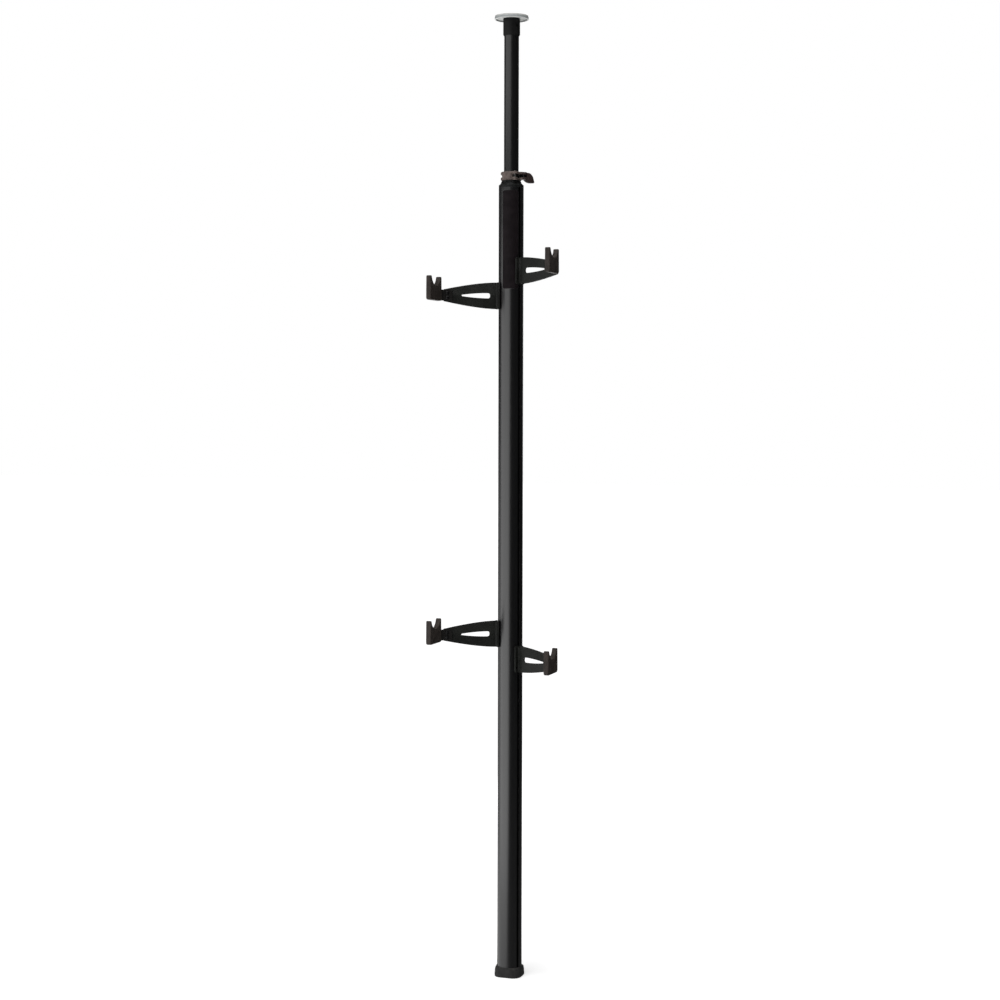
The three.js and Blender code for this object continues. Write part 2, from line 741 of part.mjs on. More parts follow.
// Sleeve over the tube's end, with a roof and a boss that centres the spring
function capSleeve() {
  const hole = discScrewRadius + seatGap;
  const profile = [
    [neckBore, sleeveBottom],
    [sleeveRadius - sleeveChamfer / 2, sleeveBottom],
    [sleeveRadius, sleeveBottom + sleeveChamfer],
    [sleeveRadius, sleeveTop],
    [hole, sleeveTop],
    [hole, sleeveInnerTop - bossLength],
    [bossRadius, sleeveInnerTop - bossLength],
    [bossRadius, sleeveInnerTop],
    [neckBore, sleeveInnerTop],
    [neckBore, sleeveBottom],
  ];
  const screwHole = aim(
    post(travelScrewRadius + seatGap, 0, sleeveWall + 2 * overrun, screwSides),
    outward(slotAzimuth),
    outward(slotAzimuth).multiplyScalar(tubeRadius - overrun / 2).setZ(travelScrewHeight),
  );
  return cut(solidOf(turned(profile, tubeSides)), solidOf(screwHole));
}

// Screw in the sleeve whose tip runs in the tube's slot
function travelScrew() {
  const start = tubeInner + seatGap / 2;
  const length = sleeveRadius - seatGap - start;
  const body = post(travelScrewRadius, 0, length, screwSides);
  const socket = post(
    travelScrewRadius * socketWidthShare, length * (1 - socketDepthShare), length + overrun, hexSides,
  );
  const origin = outward(slotAzimuth).multiplyScalar(start).setZ(travelScrewHeight);
  return cut(
    solidOf(aim(body, outward(slotAzimuth), origin)),
    solidOf(aim(socket, outward(slotAzimuth), origin)),
  );
}

// Ceiling disc: a shallow dish, hollow side down
function ceilingDisc() {
  const hole = discScrewRadius + seatGap;
  const head = discScrewHead + seatGap;
  const dishRadius = discRadius - discLip;
  const profile = [
    [hole, discFloor],
    [dishRadius, discFloor],
    [dishRadius + discEdgeRound, discBottom],
    [discRadius - discEdgeRound, discBottom],
    [discRadius, discBottom + discEdgeRound],
    [discRadius, discTop - discEdgeRound],
    [discRadius - discEdgeRound, discTop],
    [head, discTop],
    [hole, discTop - discScrewHeadHeight - seatGap],
    [hole, discFloor],
  ];
  return solidOf(turned(profile, wideSides));
}

function ceilingPad() {
  const edge = discRadius - padInset;
  return solidOf(turned([[0, padBottom], [edge, padBottom], [edge, padTop], [0, padTop]], wideSides));
}

// Countersunk screw that holds the disc on the sleeve
function discScrew() {
  const top = discTop - seatGap;
  const bottom = top - discScrewLength;
  const profile = [
    [0, bottom],
    [discScrewRadius, bottom],
    [discScrewRadius, top - discScrewHeadHeight],
    [discScrewHead, top],
    [0, top],
  ];
  const socketDepth = discScrewHeadHeight * socketDepthShare;
  const socket = post(discScrewRadius * socketWidthShare, top - socketDepth, top + overrun, hexSides);
  return cut(solidOf(turned(profile, pinSides)), solidOf(socket));
}

// Side view of an arm's plate: deep at the column, curving down to a blunt tip
function armShape() {
  const root = flangeFace - flangeThickness / 2;
  const bend = root + (armReach - root) * armBendShare;
  const shape = new THREE.Shape();
  shape.moveTo(root, -armRootHalf);
  shape.quadraticCurveTo(bend, -armRootHalf, armReach - armTipCorner, -armTipHalf);
  shape.quadraticCurveTo(armReach, -armTipHalf, armReach, armTipCorner - armTipHalf);
  shape.lineTo(armReach, armTipHalf - armTipCorner);
  shape.quadraticCurveTo(armReach, armTipHalf, armReach - armTipCorner, armTipHalf);
  shape.quadraticCurveTo(bend, armRootHalf, root, armRootHalf);
  return shape;
}

// Slot through the plate, with bowed sides that taper to the tip
function armSlot() {
  const path = new THREE.Path();
  const corner = armSlotCorner;
  const bow = (armSlotStart + armSlotEnd) / 2;
  path.moveTo(armSlotStart + corner, armSlotRootHalf);
  path.quadraticCurveTo(bow, armSlotRootHalf, armSlotEnd - armSlotTipHalf, armSlotTipHalf);
  path.quadraticCurveTo(armSlotEnd, armSlotTipHalf, armSlotEnd, 0);
  path.quadraticCurveTo(armSlotEnd, -armSlotTipHalf, armSlotEnd - armSlotTipHalf, -armSlotTipHalf);
  path.quadraticCurveTo(bow, -armSlotRootHalf, armSlotStart + corner, -armSlotRootHalf);
  path.quadraticCurveTo(armSlotStart, -armSlotRootHalf, armSlotStart, corner - armSlotRootHalf);
  path.lineTo(armSlotStart, armSlotRootHalf - corner);
  path.quadraticCurveTo(armSlotStart, armSlotRootHalf, armSlotStart + corner, armSlotRootHalf);
  return path;
}

// Places of an arm's screws in its own frame, where X runs out along the arm
const lockScrewPlaces = [
  { name: "front", across: lockScrewOut, height: lockScrewUp },
  { name: "rear", across: -lockScrewOut, height: -lockScrewUp },
];
const yokeScrewPlaces = [
  { name: "upper", height: yokeScrewUp },
  { name: "lower", height: -yokeScrewUp },
];
const yokeScrewReach = armReach - yokeScrewFromTip;
const armAxis = new THREE.Vector3(1, 0, 0);

// Arm: plate, flange and weld beads, with the T key that slides in the column
function arm() {
  const shape = armShape();
  shape.holes.push(armSlot());
  const plate = prism(shape, -armThickness / 2, armThickness).rotateX(Math.PI / 2);
  const flange = roundedPanel(flangeWidth / 2, flangeHeight / 2, flangeCorner, flangeThickness);
  flange.applyMatrix4(new THREE.Matrix4().makeBasis(
    new THREE.Vector3(0, 1, 0),
    new THREE.Vector3(0, 0, 1),
    armAxis,
  ));
  flange.translate(flangeBack, 0, 0);
  const half = armThickness / 2;
  const bead = [
    [flangeFace - overrun, -half - armWeldLeg],
    [flangeFace, -half - armWeldLeg],
    [flangeFace + armWeldLeg, -half],
    [flangeFace + armWeldLeg, half],
    [flangeFace, half + armWeldLeg],
    [flangeFace - overrun, half + armWeldLeg],
  ].map(([x, y]) => new THREE.Vector2(x, y));
  const beadHeight = 2 * (armRootHalf - armWeldLeg);
  const weld = prism(bead, -beadHeight / 2, beadHeight);
  const headFace = columnRadius - slotLip - seatGap;
  const stem = slotMouth / 2 - seatGap;
  const head = slotWidth / 2 - seatGap;
  const key = [
    [flangeBack + overrun, -stem],
    [flangeBack + overrun, stem],
    [headFace, stem],
    [headFace, head],
    [slotFloor + seatGap, head],
    [slotFloor + seatGap, -head],
    [headFace, -head],
    [headFace, -stem],
  ].map(([x, y]) => new THREE.Vector2(x, y));
  const whole = join(
    solidOf(plate),
    solidOf(flange.clone()),
    solidOf(weld),
    solidOf(prism(key, -keyHeight / 2, keyHeight)),
  );
  const lockHoles = lockScrewPlaces.map(({ across, height }) => {
    const hole = post(lockScrewRadius + seatGap, -overrun, flangeThickness + overrun, screwSides);
    return solidOf(aim(hole, armAxis, new THREE.Vector3(flangeBack, across, height)));
  });
  const yokeHoles = yokeScrewPlaces.map(({ height }) => {
    const hole = post(yokeScrewRadius + seatGap, -armThickness, armThickness, screwSides);
    return solidOf(hole.rotateX(Math.PI / 2).translate(yokeScrewReach, 0, height));
  });
  return cut(whole, ...lockHoles, ...yokeHoles);
}

// Headless screw that jams the flange off the column
function lockScrew({ across, height }) {
  const surface = Math.sqrt(columnRadius ** 2 - (Math.abs(across) - lockScrewRadius) ** 2);
  const start = surface + seatGap;
  const length = flangeFace - lockScrewSunk - start;
  const socket = post(lockScrewRadius * socketWidthShare, length / 2, length + overrun, hexSides);
  const origin = new THREE.Vector3(start, across, height);
  return cut(
    solidOf(aim(post(lockScrewRadius, 0, length, screwSides), armAxis, origin)),
    solidOf(aim(socket, armAxis, origin.clone())),
  );
}

// Screw through the yoke's tail into the arm, on the arm's front
function yokeScrew(side, { height }) {
  const stack = armThickness + yokeThickness + 2 * seatGap;
  const { profile, socket } = socketScrew(yokeScrewRadius, stack, yokeScrewHead, yokeScrewHeadHeight);
  const front = new THREE.Vector3(0, -side, 0);
  const origin = new THREE.Vector3(yokeScrewReach, (side * armThickness) / 2, height);
  return cut(
    solidOf(aim(turned(profile, screwSides), front, origin)),
    solidOf(aim(socket, front, origin)),
  );
}

// Side view of the yoke inside the rubber, or of its pocket when grown; X runs forwards from its middle
function yokeShape(grow) {
  const half = cradleTopLength / 2 - coverWall + grow;
  const bottom = coverWall - cradleDrop - grow;
  const top = cradleRise - yokeProngDrop + grow;
  const radius = notchRadius + coverWall - grow;
  const start = Math.asin((notchCentre - top) / radius);
  const shape = new THREE.Shape();
  shape.moveTo(-half, bottom);
  shape.lineTo(half, bottom);
  shape.lineTo(half, top);
  shape.lineTo(radius * Math.cos(start), top);
  shape.absarc(0, notchCentre, radius, -start, start - Math.PI, true);
  shape.lineTo(-half, top);
  return shape;
}

// Side view of the rubber cover, with the round saddle that a bike's tube lies in
function coverShape() {
  const half = cradleLength / 2;
  const topHalf = cradleTopLength / 2;
  const start = Math.asin((notchCentre - cradleRise) / notchRadius);
  const shape = new THREE.Shape();
  shape.moveTo(cradleCorner - half, -cradleDrop);
  shape.lineTo(half - cradleCorner, -cradleDrop);
  shape.quadraticCurveTo(half, -cradleDrop, half, cradleCorner - cradleDrop);
  shape.lineTo(topHalf, cradleRise - prongCorner);
  shape.quadraticCurveTo(topHalf, cradleRise, topHalf - prongCorner, cradleRise);
  shape.lineTo(notchRadius * Math.cos(start), cradleRise);
  shape.absarc(0, notchCentre, notchRadius, -start, start - Math.PI, true);
  shape.lineTo(prongCorner - topHalf, cradleRise);
  shape.quadraticCurveTo(-topHalf, cradleRise, -topHalf, cradleRise - prongCorner);
  shape.lineTo(-half, cradleCorner - cradleDrop);
  shape.quadraticCurveTo(-half, -cradleDrop, cradleCorner - half, -cradleDrop);
  return shape;
}

// Stands a side view up across the cradle, its X forwards and its thickness centred on the cradle's plane
function standCradle(geometry, side, thickness) {
  geometry.applyMatrix4(new THREE.Matrix4().makeBasis(
    new THREE.Vector3(0, -1, 0),
    new THREE.Vector3(0, 0, 1),
    new THREE.Vector3(-1, 0, 0),
  ));
  return geometry.translate(side * cradleOut + thickness / 2, -cradleForward, 0);
}

// The yoke's tail in plan: from inside the yoke back to the arm's tip, round a bend and along the arm's front
function tailStrip(side, grow) {
  const axis = outward(slotAzimuth);
  const front = sideways(slotAzimuth).negate();
  const offset = armThickness / 2 + seatGap + yokeThickness / 2;
  const meet = (cradleOut - front.x * offset) / axis.x;
  const corner = axis.clone().multiplyScalar(meet).addScaledVector(front, offset);
  const end = axis.clone().multiplyScalar(armReach - tailLap).addScaledVector(front, offset);
  const start = new THREE.Vector3(cradleOut, -(cradleForward - cradleLength / 2 + tailInYoke), 0);
  const before = corner.clone().addScaledVector(new THREE.Vector3(0, -1, 0), tailBendRadius);
  const after = corner.clone().addScaledVector(end.clone().sub(corner).normalize(), tailBendRadius);
  const bend = new THREE.QuadraticBezierCurve3(before, corner, after).getPoints(curveDivisions);
  const path = [start, ...bend, end];
  const half = yokeThickness / 2 + grow;
  const edge = (sign) => path.map((point, i) => {
    const back = path[Math.max(i - 1, 0)];
    const ahead = path[Math.min(i + 1, path.length - 1)];
    const run = ahead.clone().sub(back).normalize();
    return new THREE.Vector2(side * (point.x - run.y * half * sign), point.y + run.x * half * sign);
  });
  const height = 2 * (tailHalfHeight + grow);
  return prism([...edge(1), ...edge(-1).reverse()], -height / 2, height);
}

// Steel yoke: the plate inside the rubber and its bent tail
function yoke(side) {
  const plate = prism(yokeShape(0), 0, yokeThickness);
  const whole = join(solidOf(standCradle(plate, side, yokeThickness)), solidOf(tailStrip(side, 0)));
  const axis = outward(side * slotAzimuth);
  const front = sideways(side * slotAzimuth).multiplyScalar(-side);
  const holes = yokeScrewPlaces.map(({ height }) => {
    const hole = post(yokeScrewRadius + seatGap, 0, armThickness + yokeThickness + overrun, screwSides);
    return solidOf(aim(hole, front, axis.clone().multiplyScalar(yokeScrewReach).setZ(height)));
  });
  return cut(whole, ...holes);
}

// Rubber cover over the yoke, open at the back where the tail comes out
function cradleCover(side) {
  const outside = new THREE.ExtrudeGeometry(coverShape(), {
    depth: cradleThickness - 2 * coverRound,
    bevelThickness: coverRound,
    bevelSize: coverRound,
    bevelOffset: -coverRound,
    bevelSegments: 2,
    curveSegments: 2 * curveDivisions,
  }).translate(0, 0, coverRound);
  const pocketThickness = yokeThickness + 2 * seatGap;
  const pocket = prism(yokeShape(seatGap), 0, pocketThickness);
  return cut(
    solidOf(standCradle(outside, side, cradleThickness)),
    solidOf(standCradle(pocket, side, pocketThickness)),
    solidOf(tailStrip(side, seatGap)),
  );
}

// One arm with its screws, yoke and cover, at its height on the column
function armGroup(name, side, height) {
  const turnedArm = new THREE.Group();
  turnedArm.rotation.z = side * slotAzimuth - Math.PI / 2;
  turnedArm.add(piece(`${name}_arm`, arm(), paintedBlack));
  lockScrewPlaces.forEach((place) => {
    turnedArm.add(piece(`${name}_lock_screw_${place.name}`, lockScrew(place), darkSteel));
  });
  yokeScrewPlaces.forEach((place) => {
    turnedArm.add(piece(`${name}_yoke_screw_${place.name}`, yokeScrew(side, place), darkSteel));
  });
  const group = new THREE.Group();
  group.position.z = height;
  group.add(turnedArm);
  group.add(piece(`${name}_yoke`, yoke(side), darkSteel));
  group.add(piece(`${name}_cradle_cover`, cradleCover(side), rubberBlack));
  return group;
}

// Column with its boot, plug, label, cap and clamp
function columnGroup() {
  const group = new THREE.Group();
  group.add(piece("foot_boot", boot(), rubberBlack));
  group.add(piece("foot_plug", footPlug(), plasticBlack));
  group.add(piece("column_extrusion", column(), columnBlack));
  group.add(piece("column_label", label(), labelInk));
  group.add(piece("column_cap", columnCap(), plasticBlack));
  group.add(piece("cap_screw", capScrew(), darkSteel));
  group.add(piece("clamp_ring", clampRing(), warmGrey));
  group.add(piece("clamp_barrel", barrel(), brightSteel));
  group.add(piece("clamp_tie_bolt", tieBolt(), brightSteel));
  group.add(piece("clamp_lever_pin", leverPin(), brightSteel));
  group.add(piece("clamp_lever", clampLever(), plasticBlack));
  return group;
}

// Upper tube with what it carries inside
function upperTubeGroup() {
  const group = new THREE.Group();
  group.add(piece("upper_tube", upperTube(), columnBlack));
  group.add(piece("tube_guide_bush", guideBush(), plasticBlack));
  group.add(piece("spring_seat", springSeat(), plasticBlack));
  group.add(piece("top_spring", topSpring(), brightSteel));
  return group;
}

// Sprung cap that presses on the ceiling
function ceilingCapGroup() {
  const group = new THREE.Group();
  group.add(piece("cap_sleeve", capSleeve(), plasticBlack));
  group.add(piece("travel_screw", travelScrew(), darkSteel));
  group.add(piece("ceiling_disc", ceilingDisc(), paleGrey));
  group.add(piece("disc_screw", discScrew(), darkSteel));
  group.add(piece("ceiling_pad", ceilingPad(), paleGrey));
  return group;
}

const tower = new THREE.Group();
tower.add(columnGroup());
tower.add(upperTubeGroup());
tower.add(ceilingCapGroup());
tower.add(armGroup("upper_left", -1, upperLeftHeight));
tower.add(armGroup("upper_right", 1, upperRightHeight));
tower.add(armGroup("lower_left", -1, lowerLeftHeight));
tower.add(armGroup("lower_right", 1, lowerRightHeight));

export default tower;
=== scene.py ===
"""Bike storage tower: finishes, rubber pieces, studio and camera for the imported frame.

Metres, +Z up. The origin is on the floor at the column's axis, and the cradles stand on the -Y side.
"""

import json
import logging
import math
from collections.abc import Mapping, Sequence
from dataclasses import dataclass, replace
from enum import Enum
from typing import ClassVar

import bmesh
import bpy
from mathutils import Matrix, Vector

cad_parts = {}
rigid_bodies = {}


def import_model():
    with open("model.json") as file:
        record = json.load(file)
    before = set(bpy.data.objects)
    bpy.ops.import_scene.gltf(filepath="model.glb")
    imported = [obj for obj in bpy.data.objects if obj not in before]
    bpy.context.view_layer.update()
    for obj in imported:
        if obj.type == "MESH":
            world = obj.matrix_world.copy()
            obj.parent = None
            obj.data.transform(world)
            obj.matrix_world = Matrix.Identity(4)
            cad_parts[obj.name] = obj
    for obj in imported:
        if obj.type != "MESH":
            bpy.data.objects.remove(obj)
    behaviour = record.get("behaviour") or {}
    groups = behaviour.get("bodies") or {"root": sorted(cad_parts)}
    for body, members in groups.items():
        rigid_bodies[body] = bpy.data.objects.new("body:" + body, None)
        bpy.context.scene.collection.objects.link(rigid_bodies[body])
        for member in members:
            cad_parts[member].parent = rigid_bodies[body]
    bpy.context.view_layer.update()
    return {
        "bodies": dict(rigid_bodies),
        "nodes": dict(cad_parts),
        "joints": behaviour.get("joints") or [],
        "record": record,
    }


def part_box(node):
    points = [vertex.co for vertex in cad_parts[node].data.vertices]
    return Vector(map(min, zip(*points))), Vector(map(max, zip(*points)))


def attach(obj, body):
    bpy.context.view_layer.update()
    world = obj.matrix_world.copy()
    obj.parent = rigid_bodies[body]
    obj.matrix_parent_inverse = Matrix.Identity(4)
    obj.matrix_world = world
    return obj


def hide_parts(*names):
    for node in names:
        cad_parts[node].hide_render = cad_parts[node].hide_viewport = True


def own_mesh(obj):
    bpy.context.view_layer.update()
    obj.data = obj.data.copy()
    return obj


log = logging.getLogger("tower")

MM = 0.001
PICTURE = 1000.0
BEVEL_SAMPLES = 6
EDGE_GAIN = 6.0
WELD_DISTANCE = 0.004 * MM
WHITE = (1.0, 1.0, 1.0, 1.0)
Colour = tuple[float, float, float, float]
Point = tuple[float, float]


def tone(red: float, green: float, blue: float) -> Colour:
    """Turns a colour as a picture shows it, 0 to 255, into the light that a shader takes.

    Args:
        red: Red as shown.
        green: Green as shown.
        blue: Blue as shown.

    Returns:
        The same colour in linear light, with full alpha.
    """
    shares = [value / 255.0 for value in (red, green, blue)]
    light = [s / 12.92 if s <= 0.04045 else ((s + 0.055) / 1.055) ** 2.4 for s in shares]
    return (light[0], light[1], light[2], 1.0)


class Wire:
    """A node's output that carries a number or a vector. Operators on numbers add Math nodes."""

    def __init__(self, graph: "Graph", socket: bpy.types.NodeSocket) -> None:
        """Keeps the graph that new nodes go into, and the socket."""
        self.graph = graph
        self.socket = socket

    def _math(self, operation: str, *values: "Feed", clamp: bool = False) -> "Wire":
        """Adds one Math node.

        Args:
            operation: Blender's name for the operation.
            values: What its sockets take, in order.
            clamp: Whether the result is held between 0 and 1.

        Returns:
            The node's output.
        """
        settings = {"operation": operation, "use_clamp": clamp}
        node = self.graph.add("ShaderNodeMath", settings, dict(enumerate(values)))
        return Wire(self.graph, node.outputs[0])

    def __add__(self, other: "Feed") -> "Wire":
        """Self plus other."""
        return self._math("ADD", self, other)

    def __radd__(self, other: float) -> "Wire":
        """A number plus self."""
        return self._math("ADD", other, self)

    def __sub__(self, other: "Feed") -> "Wire":
        """Self minus other."""
        return self._math("SUBTRACT", self, other)

    def __rsub__(self, other: float) -> "Wire":
        """A number minus self."""
        return self._math("SUBTRACT", other, self)

    def __mul__(self, other: "Feed") -> "Wire":
        """Self times other."""
        return self._math("MULTIPLY", self, other)

    def __pow__(self, other: float) -> "Wire":
        """Self to a power."""
        return self._math("POWER", self, other)

    def __abs__(self) -> "Wire":
        """Self without its sign."""
        return self._math("ABSOLUTE", self)

    def most(self, other: "Feed") -> "Wire":
        """The larger of self and other."""
        return self._math("MAXIMUM", self, other)

    def held(self) -> "Wire":
        """Self held between 0 and 1."""
        return self._math("ADD", self, 0.0, clamp=True)

    def eased(self, low: float, high: float) -> "Wire":
        """Rises smoothly from 0 at low to 1 at high.

        Args:
            low: Value of self that gives 0.
            high: Value of self that gives 1.

        Returns:
            The eased value.
        """
        settings = {"interpolation_type": "SMOOTHSTEP"}
        node = self.graph.add(
            "ShaderNodeMapRange", settings, {"Value": self, "From Min": low, "From Max": high}
        )
        return Wire(self.graph, node.outputs[0])


Feed = float | Sequence[float] | Wire | bpy.types.NodeSocket


class Graph:
    """The node tree of a material or a world, and the few ways in which it grows."""

    def __init__(self, owner: bpy.types.Material | bpy.types.World) -> None:
        """Empties the owner's node tree and keeps it."""
        owner.use_nodes = True
        self.tree = owner.node_tree
        self.tree.nodes.clear()

    def add(
        self, kind: str, settings: Mapping[str, object], sockets: Mapping[str | int, Feed]
    ) -> bpy.types.Node:
        """Adds a node.

        Args:
            kind: The node's Blender type.
            settings: Its own properties, which are set first.
            sockets: A value or a link for each input that isn't left as it is.

        Returns:
            The new node.
        """
        node = self.tree.nodes.new(kind)
        for name, value in settings.items():
            setattr(node, name, value)
        for key, value in sockets.items():
            source = value.socket if isinstance(value, Wire) else value
            if isinstance(source, bpy.types.NodeSocket):
                self.tree.links.new(source, node.inputs[key])
            else:
                node.inputs[key].default_value = source
        return node

    def position(self) -> Wire:
        """The point on the piece, in metres, which moves with the piece."""
        node = self.add("ShaderNodeTexCoord", {}, {})
        return Wire(self, node.outputs["Object"])

    def parts(self, vector: Feed) -> tuple[Wire, Wire, Wire]:
        """The three numbers of a vector."""
        node = self.add("ShaderNodeSeparateXYZ", {}, {0: vector})
        return tuple(Wire(self, node.outputs[i]) for i in range(3))

    def scaled(self, vector: Feed, factors: Sequence[float]) -> Wire:
        """A vector with each number times its own factor."""
        node = self.add("ShaderNodeVectorMath", {"operation": "MULTIPLY"}, {0: vector, 1: factors})
        return Wire(self, node.outputs[0])

    def noise(
        self, vector: Feed, pitch: float, detail: float = 3.0, rough: float = 0.55
    ) -> Wire:
        """Soft noise about 0.5.

        Args:
            vector: Where it is read.
            pitch: Size of its largest spots, in the vector's unit.
            detail: How many finer layers it has.
            rough: How strong the finer layers are.

        Returns:
            The noise, from 0 to 1.
        """
        sockets = {"Vector": vector, "Scale": 1.0 / pitch, "Detail": detail, "Roughness": rough}
        node = self.add("ShaderNodeTexNoise", {}, sockets)
        return Wire(self, node.outputs[0])

    def edges(self, radius: float) -> Wire:
        """Rises towards outer and inner edges.

        Args:
            radius: How far from an edge it starts.

        Returns:
            0 on flat surface, up to about 1 at a sharp edge.
        """
        soft = self.add("ShaderNodeBevel", {"samples": BEVEL_SAMPLES}, {"Radius": radius})
        plain = self.add("ShaderNodeNewGeometry", {}, {})
        dot = self.add(
            "ShaderNodeVectorMath",
            {"operation": "DOT_PRODUCT"},
            {0: soft.outputs[0], 1: plain.outputs["Normal"]},
        )
        return ((1.0 - Wire(self, dot.outputs["Value"])) * EDGE_GAIN).held()

    def rising(self) -> Wire:
        """How far the surface faces up, from -1 to 1."""
        node = self.add("ShaderNodeNewGeometry", {}, {})
        return self.parts(node.outputs["Normal"])[2]

    def mix(self, share: Feed, base: Feed, over: Feed) -> Wire:
        """One colour over another.

        Args:
            share: How much of the upper colour shows.
            base: The lower colour.
            over: The upper colour.

        Returns:
            The mixed colour.
        """
        node = self.add("ShaderNodeMix", {"data_type": "RGBA"}, {0: share, 6: base, 7: over})
        return Wire(self, node.outputs[2])

    def relief(self, height: Feed, depth: float, radius: float = 0.0) -> Wire:
        """Surface normal from a height, over edges that are rounded in the shading.

        Args:
            height: Height from 0 to 1.
            depth: What a height of 1 means, in metres.
            radius: Radius of the rounded edges.

        Returns:
            The normal.
        """
        sockets: dict[str | int, Feed] = {"Height": height, "Distance": depth, "Strength": 1.0}
        if radius > 0.0:
            soft = self.add("ShaderNodeBevel", {"samples": BEVEL_SAMPLES}, {"Radius": radius})
            sockets["Normal"] = soft.outputs[0]
        return Wire(self, self.add("ShaderNodeBump", {}, sockets).outputs[0])

    def surface(self, sockets: Mapping[str | int, Feed]) -> None:
        """Ends the material in one Principled shader."""
        shader = self.add("ShaderNodeBsdfPrincipled", {}, sockets)
        self.add("ShaderNodeOutputMaterial", {}, {"Surface": shader.outputs[0]})


@dataclass(frozen=True)
class Finish:
    """What every finish has: a name, a colour, and how rough and glossy it is."""

    metallic: ClassVar[float] = 0.0

    name: str
    colour: Colour
    roughness: float
    specular: float = 0.5

    def material(self) -> bpy.types.Material:
        """Builds the finish, or gives the one that is already built."""
        found = bpy.data.materials.get(self.name)
        if found is not None:
            return found
        made = bpy.data.materials.new(self.name)
        self.paint(Graph(made))
        return made

    def paint(self, graph: Graph) -> None:
        """Fills the material's graph."""
        raise NotImplementedError

    def lighter(self, gain: float) -> Colour:
        """The finish's colour times a gain."""
        red, green, blue, alpha = self.colour
        return (red * gain, green * gain, blue * gain, alpha)

    def coat(
        self, graph: Graph, shown: Wire, rough: Wire, height: Wire, depth: float, radius: float
    ) -> None:
        """Ends the material in its shader.

        Args:
            graph: The material's graph.
            shown: Its colour.
            rough: Its roughness, which is held between 0 and 1.
            height: Height of its relief.
            depth: What a height of 1 means, in metres.
            radius: Radius of the edges that are rounded in the shading.
        """
        graph.surface(
            {
                "Base Color": shown,
                "Metallic": self.metallic,
                "Roughness": rough.held(),
                "Specular IOR Level": self.specular,
                "Normal": graph.relief(height, depth, radius),
            }
        )


@dataclass(frozen=True)
class Anodised(Finish):
    """Black anodised aluminium with fine die lines along its length and a few rubbed streaks."""

    line_pitch: float = 0.9 * MM
    line_depth: float = 0.004 * MM
    cloud_pitch: float = 45.0 * MM
    streak_pitch: float = 3.0 * MM
    rub: float = 0.25

    def paint(self, graph: Graph) -> None:
        """Die lines in relief and roughness, rubbed streaks and paler edges in colour."""
        point = graph.position()
        along = graph.scaled(point, (1.0, 1.0, 0.004))
        lines = graph.noise(along, self.line_pitch, 4.0, 0.6)
        cloud = graph.noise(graph.scaled(point, (1.0, 1.0, 0.12)), self.cloud_pitch)
        streaks = graph.noise(graph.scaled(point, (1.0, 1.0, 0.03)), self.streak_pitch, 5.0, 0.7)
        rubbed = streaks.eased(0.66, 0.8) * cloud.eased(0.45, 0.7) * self.rub
        worn = graph.edges(0.4 * MM) * streaks.eased(0.5, 0.7) * 0.4
        tinted = graph.mix(cloud.eased(0.3, 0.7), self.lighter(0.85), self.lighter(1.15))
        shown = graph.mix((rubbed + worn).held(), tinted, self.lighter(5.0))
        rough = self.roughness + (lines - 0.5) * 0.05 + (cloud - 0.5) * 0.05 + rubbed * 0.3
        self.coat(graph, shown, rough, lines, self.line_depth, 0.35 * MM)


@dataclass(frozen=True)
class PowderCoat(Finish):
    """Powder coated steel: a pebbled skin, a pressed crease along the plate, and paler edges."""

    pebble: float = 1.1 * MM
    depth: float = 0.03 * MM
    cloud_pitch: float = 35.0 * MM
    chip_pitch: float = 4.0 * MM
    crease_height: float | None = None
    crease_slope: float = 0.3
    crease_width: float = 1.5 * MM

    def paint(self, graph: Graph) -> None:
        """Pebbled relief, cloudy colour and worn edges."""
        point = graph.position()
        pebbles = graph.noise(point, self.pebble, 3.0, 0.5)
        cloud = graph.noise(point, self.cloud_pitch)
        worn = graph.edges(0.9 * MM)
        chips = graph.noise(point, self.chip_pitch, 5.0, 0.7).eased(0.5, 0.66)
        tinted = graph.mix(cloud.eased(0.3, 0.7), self.lighter(0.82), self.lighter(1.2))
        shown = graph.mix((worn * chips * 0.5).held(), tinted, self.lighter(4.0))
        rough = self.roughness + (cloud - 0.5) * 0.12 + (pebbles - 0.5) * 0.1
        height = pebbles * self.depth
        if self.crease_height is not None:
            off = graph.parts(point)[2] - self.crease_height
            height = height - (off * off + self.crease_width**2) ** 0.5 * self.crease_slope
        self.coat(graph, shown, rough, height, 1.0, 0.6 * MM)


@dataclass(frozen=True)
class Casting(Finish):
    """Painted casting: fine sand grain, rubbed bright edges and cloudy dirt."""

    rubbed: Colour = (0.4, 0.36, 0.34, 1.0)
    grain: float = 0.7 * MM
    depth: float = 0.05 * MM
    dirt_pitch: float = 9.0 * MM
    wear_pitch: float = 2.5 * MM

    def paint(self, graph: Graph) -> None:
        """Grain in relief, rubbed edges and cloudy dirt in colour."""
        point = graph.position()
        grain = graph.noise(point, self.grain, 4.0, 0.6)
        cloud = graph.noise(point, self.dirt_pitch, 4.0)
        worn = graph.edges(0.7 * MM) * graph.noise(point, self.wear_pitch, 4.0).eased(0.35, 0.65)
        tinted = graph.mix(cloud.eased(0.32, 0.68), self.lighter(0.72), self.lighter(1.2))
        shown = graph.mix((worn * 0.7).held(), tinted, self.rubbed)
        rough = self.roughness + (grain - 0.5) * 0.15 - worn * 0.12
        self.coat(graph, shown, rough, grain, self.depth, 0.5 * MM)


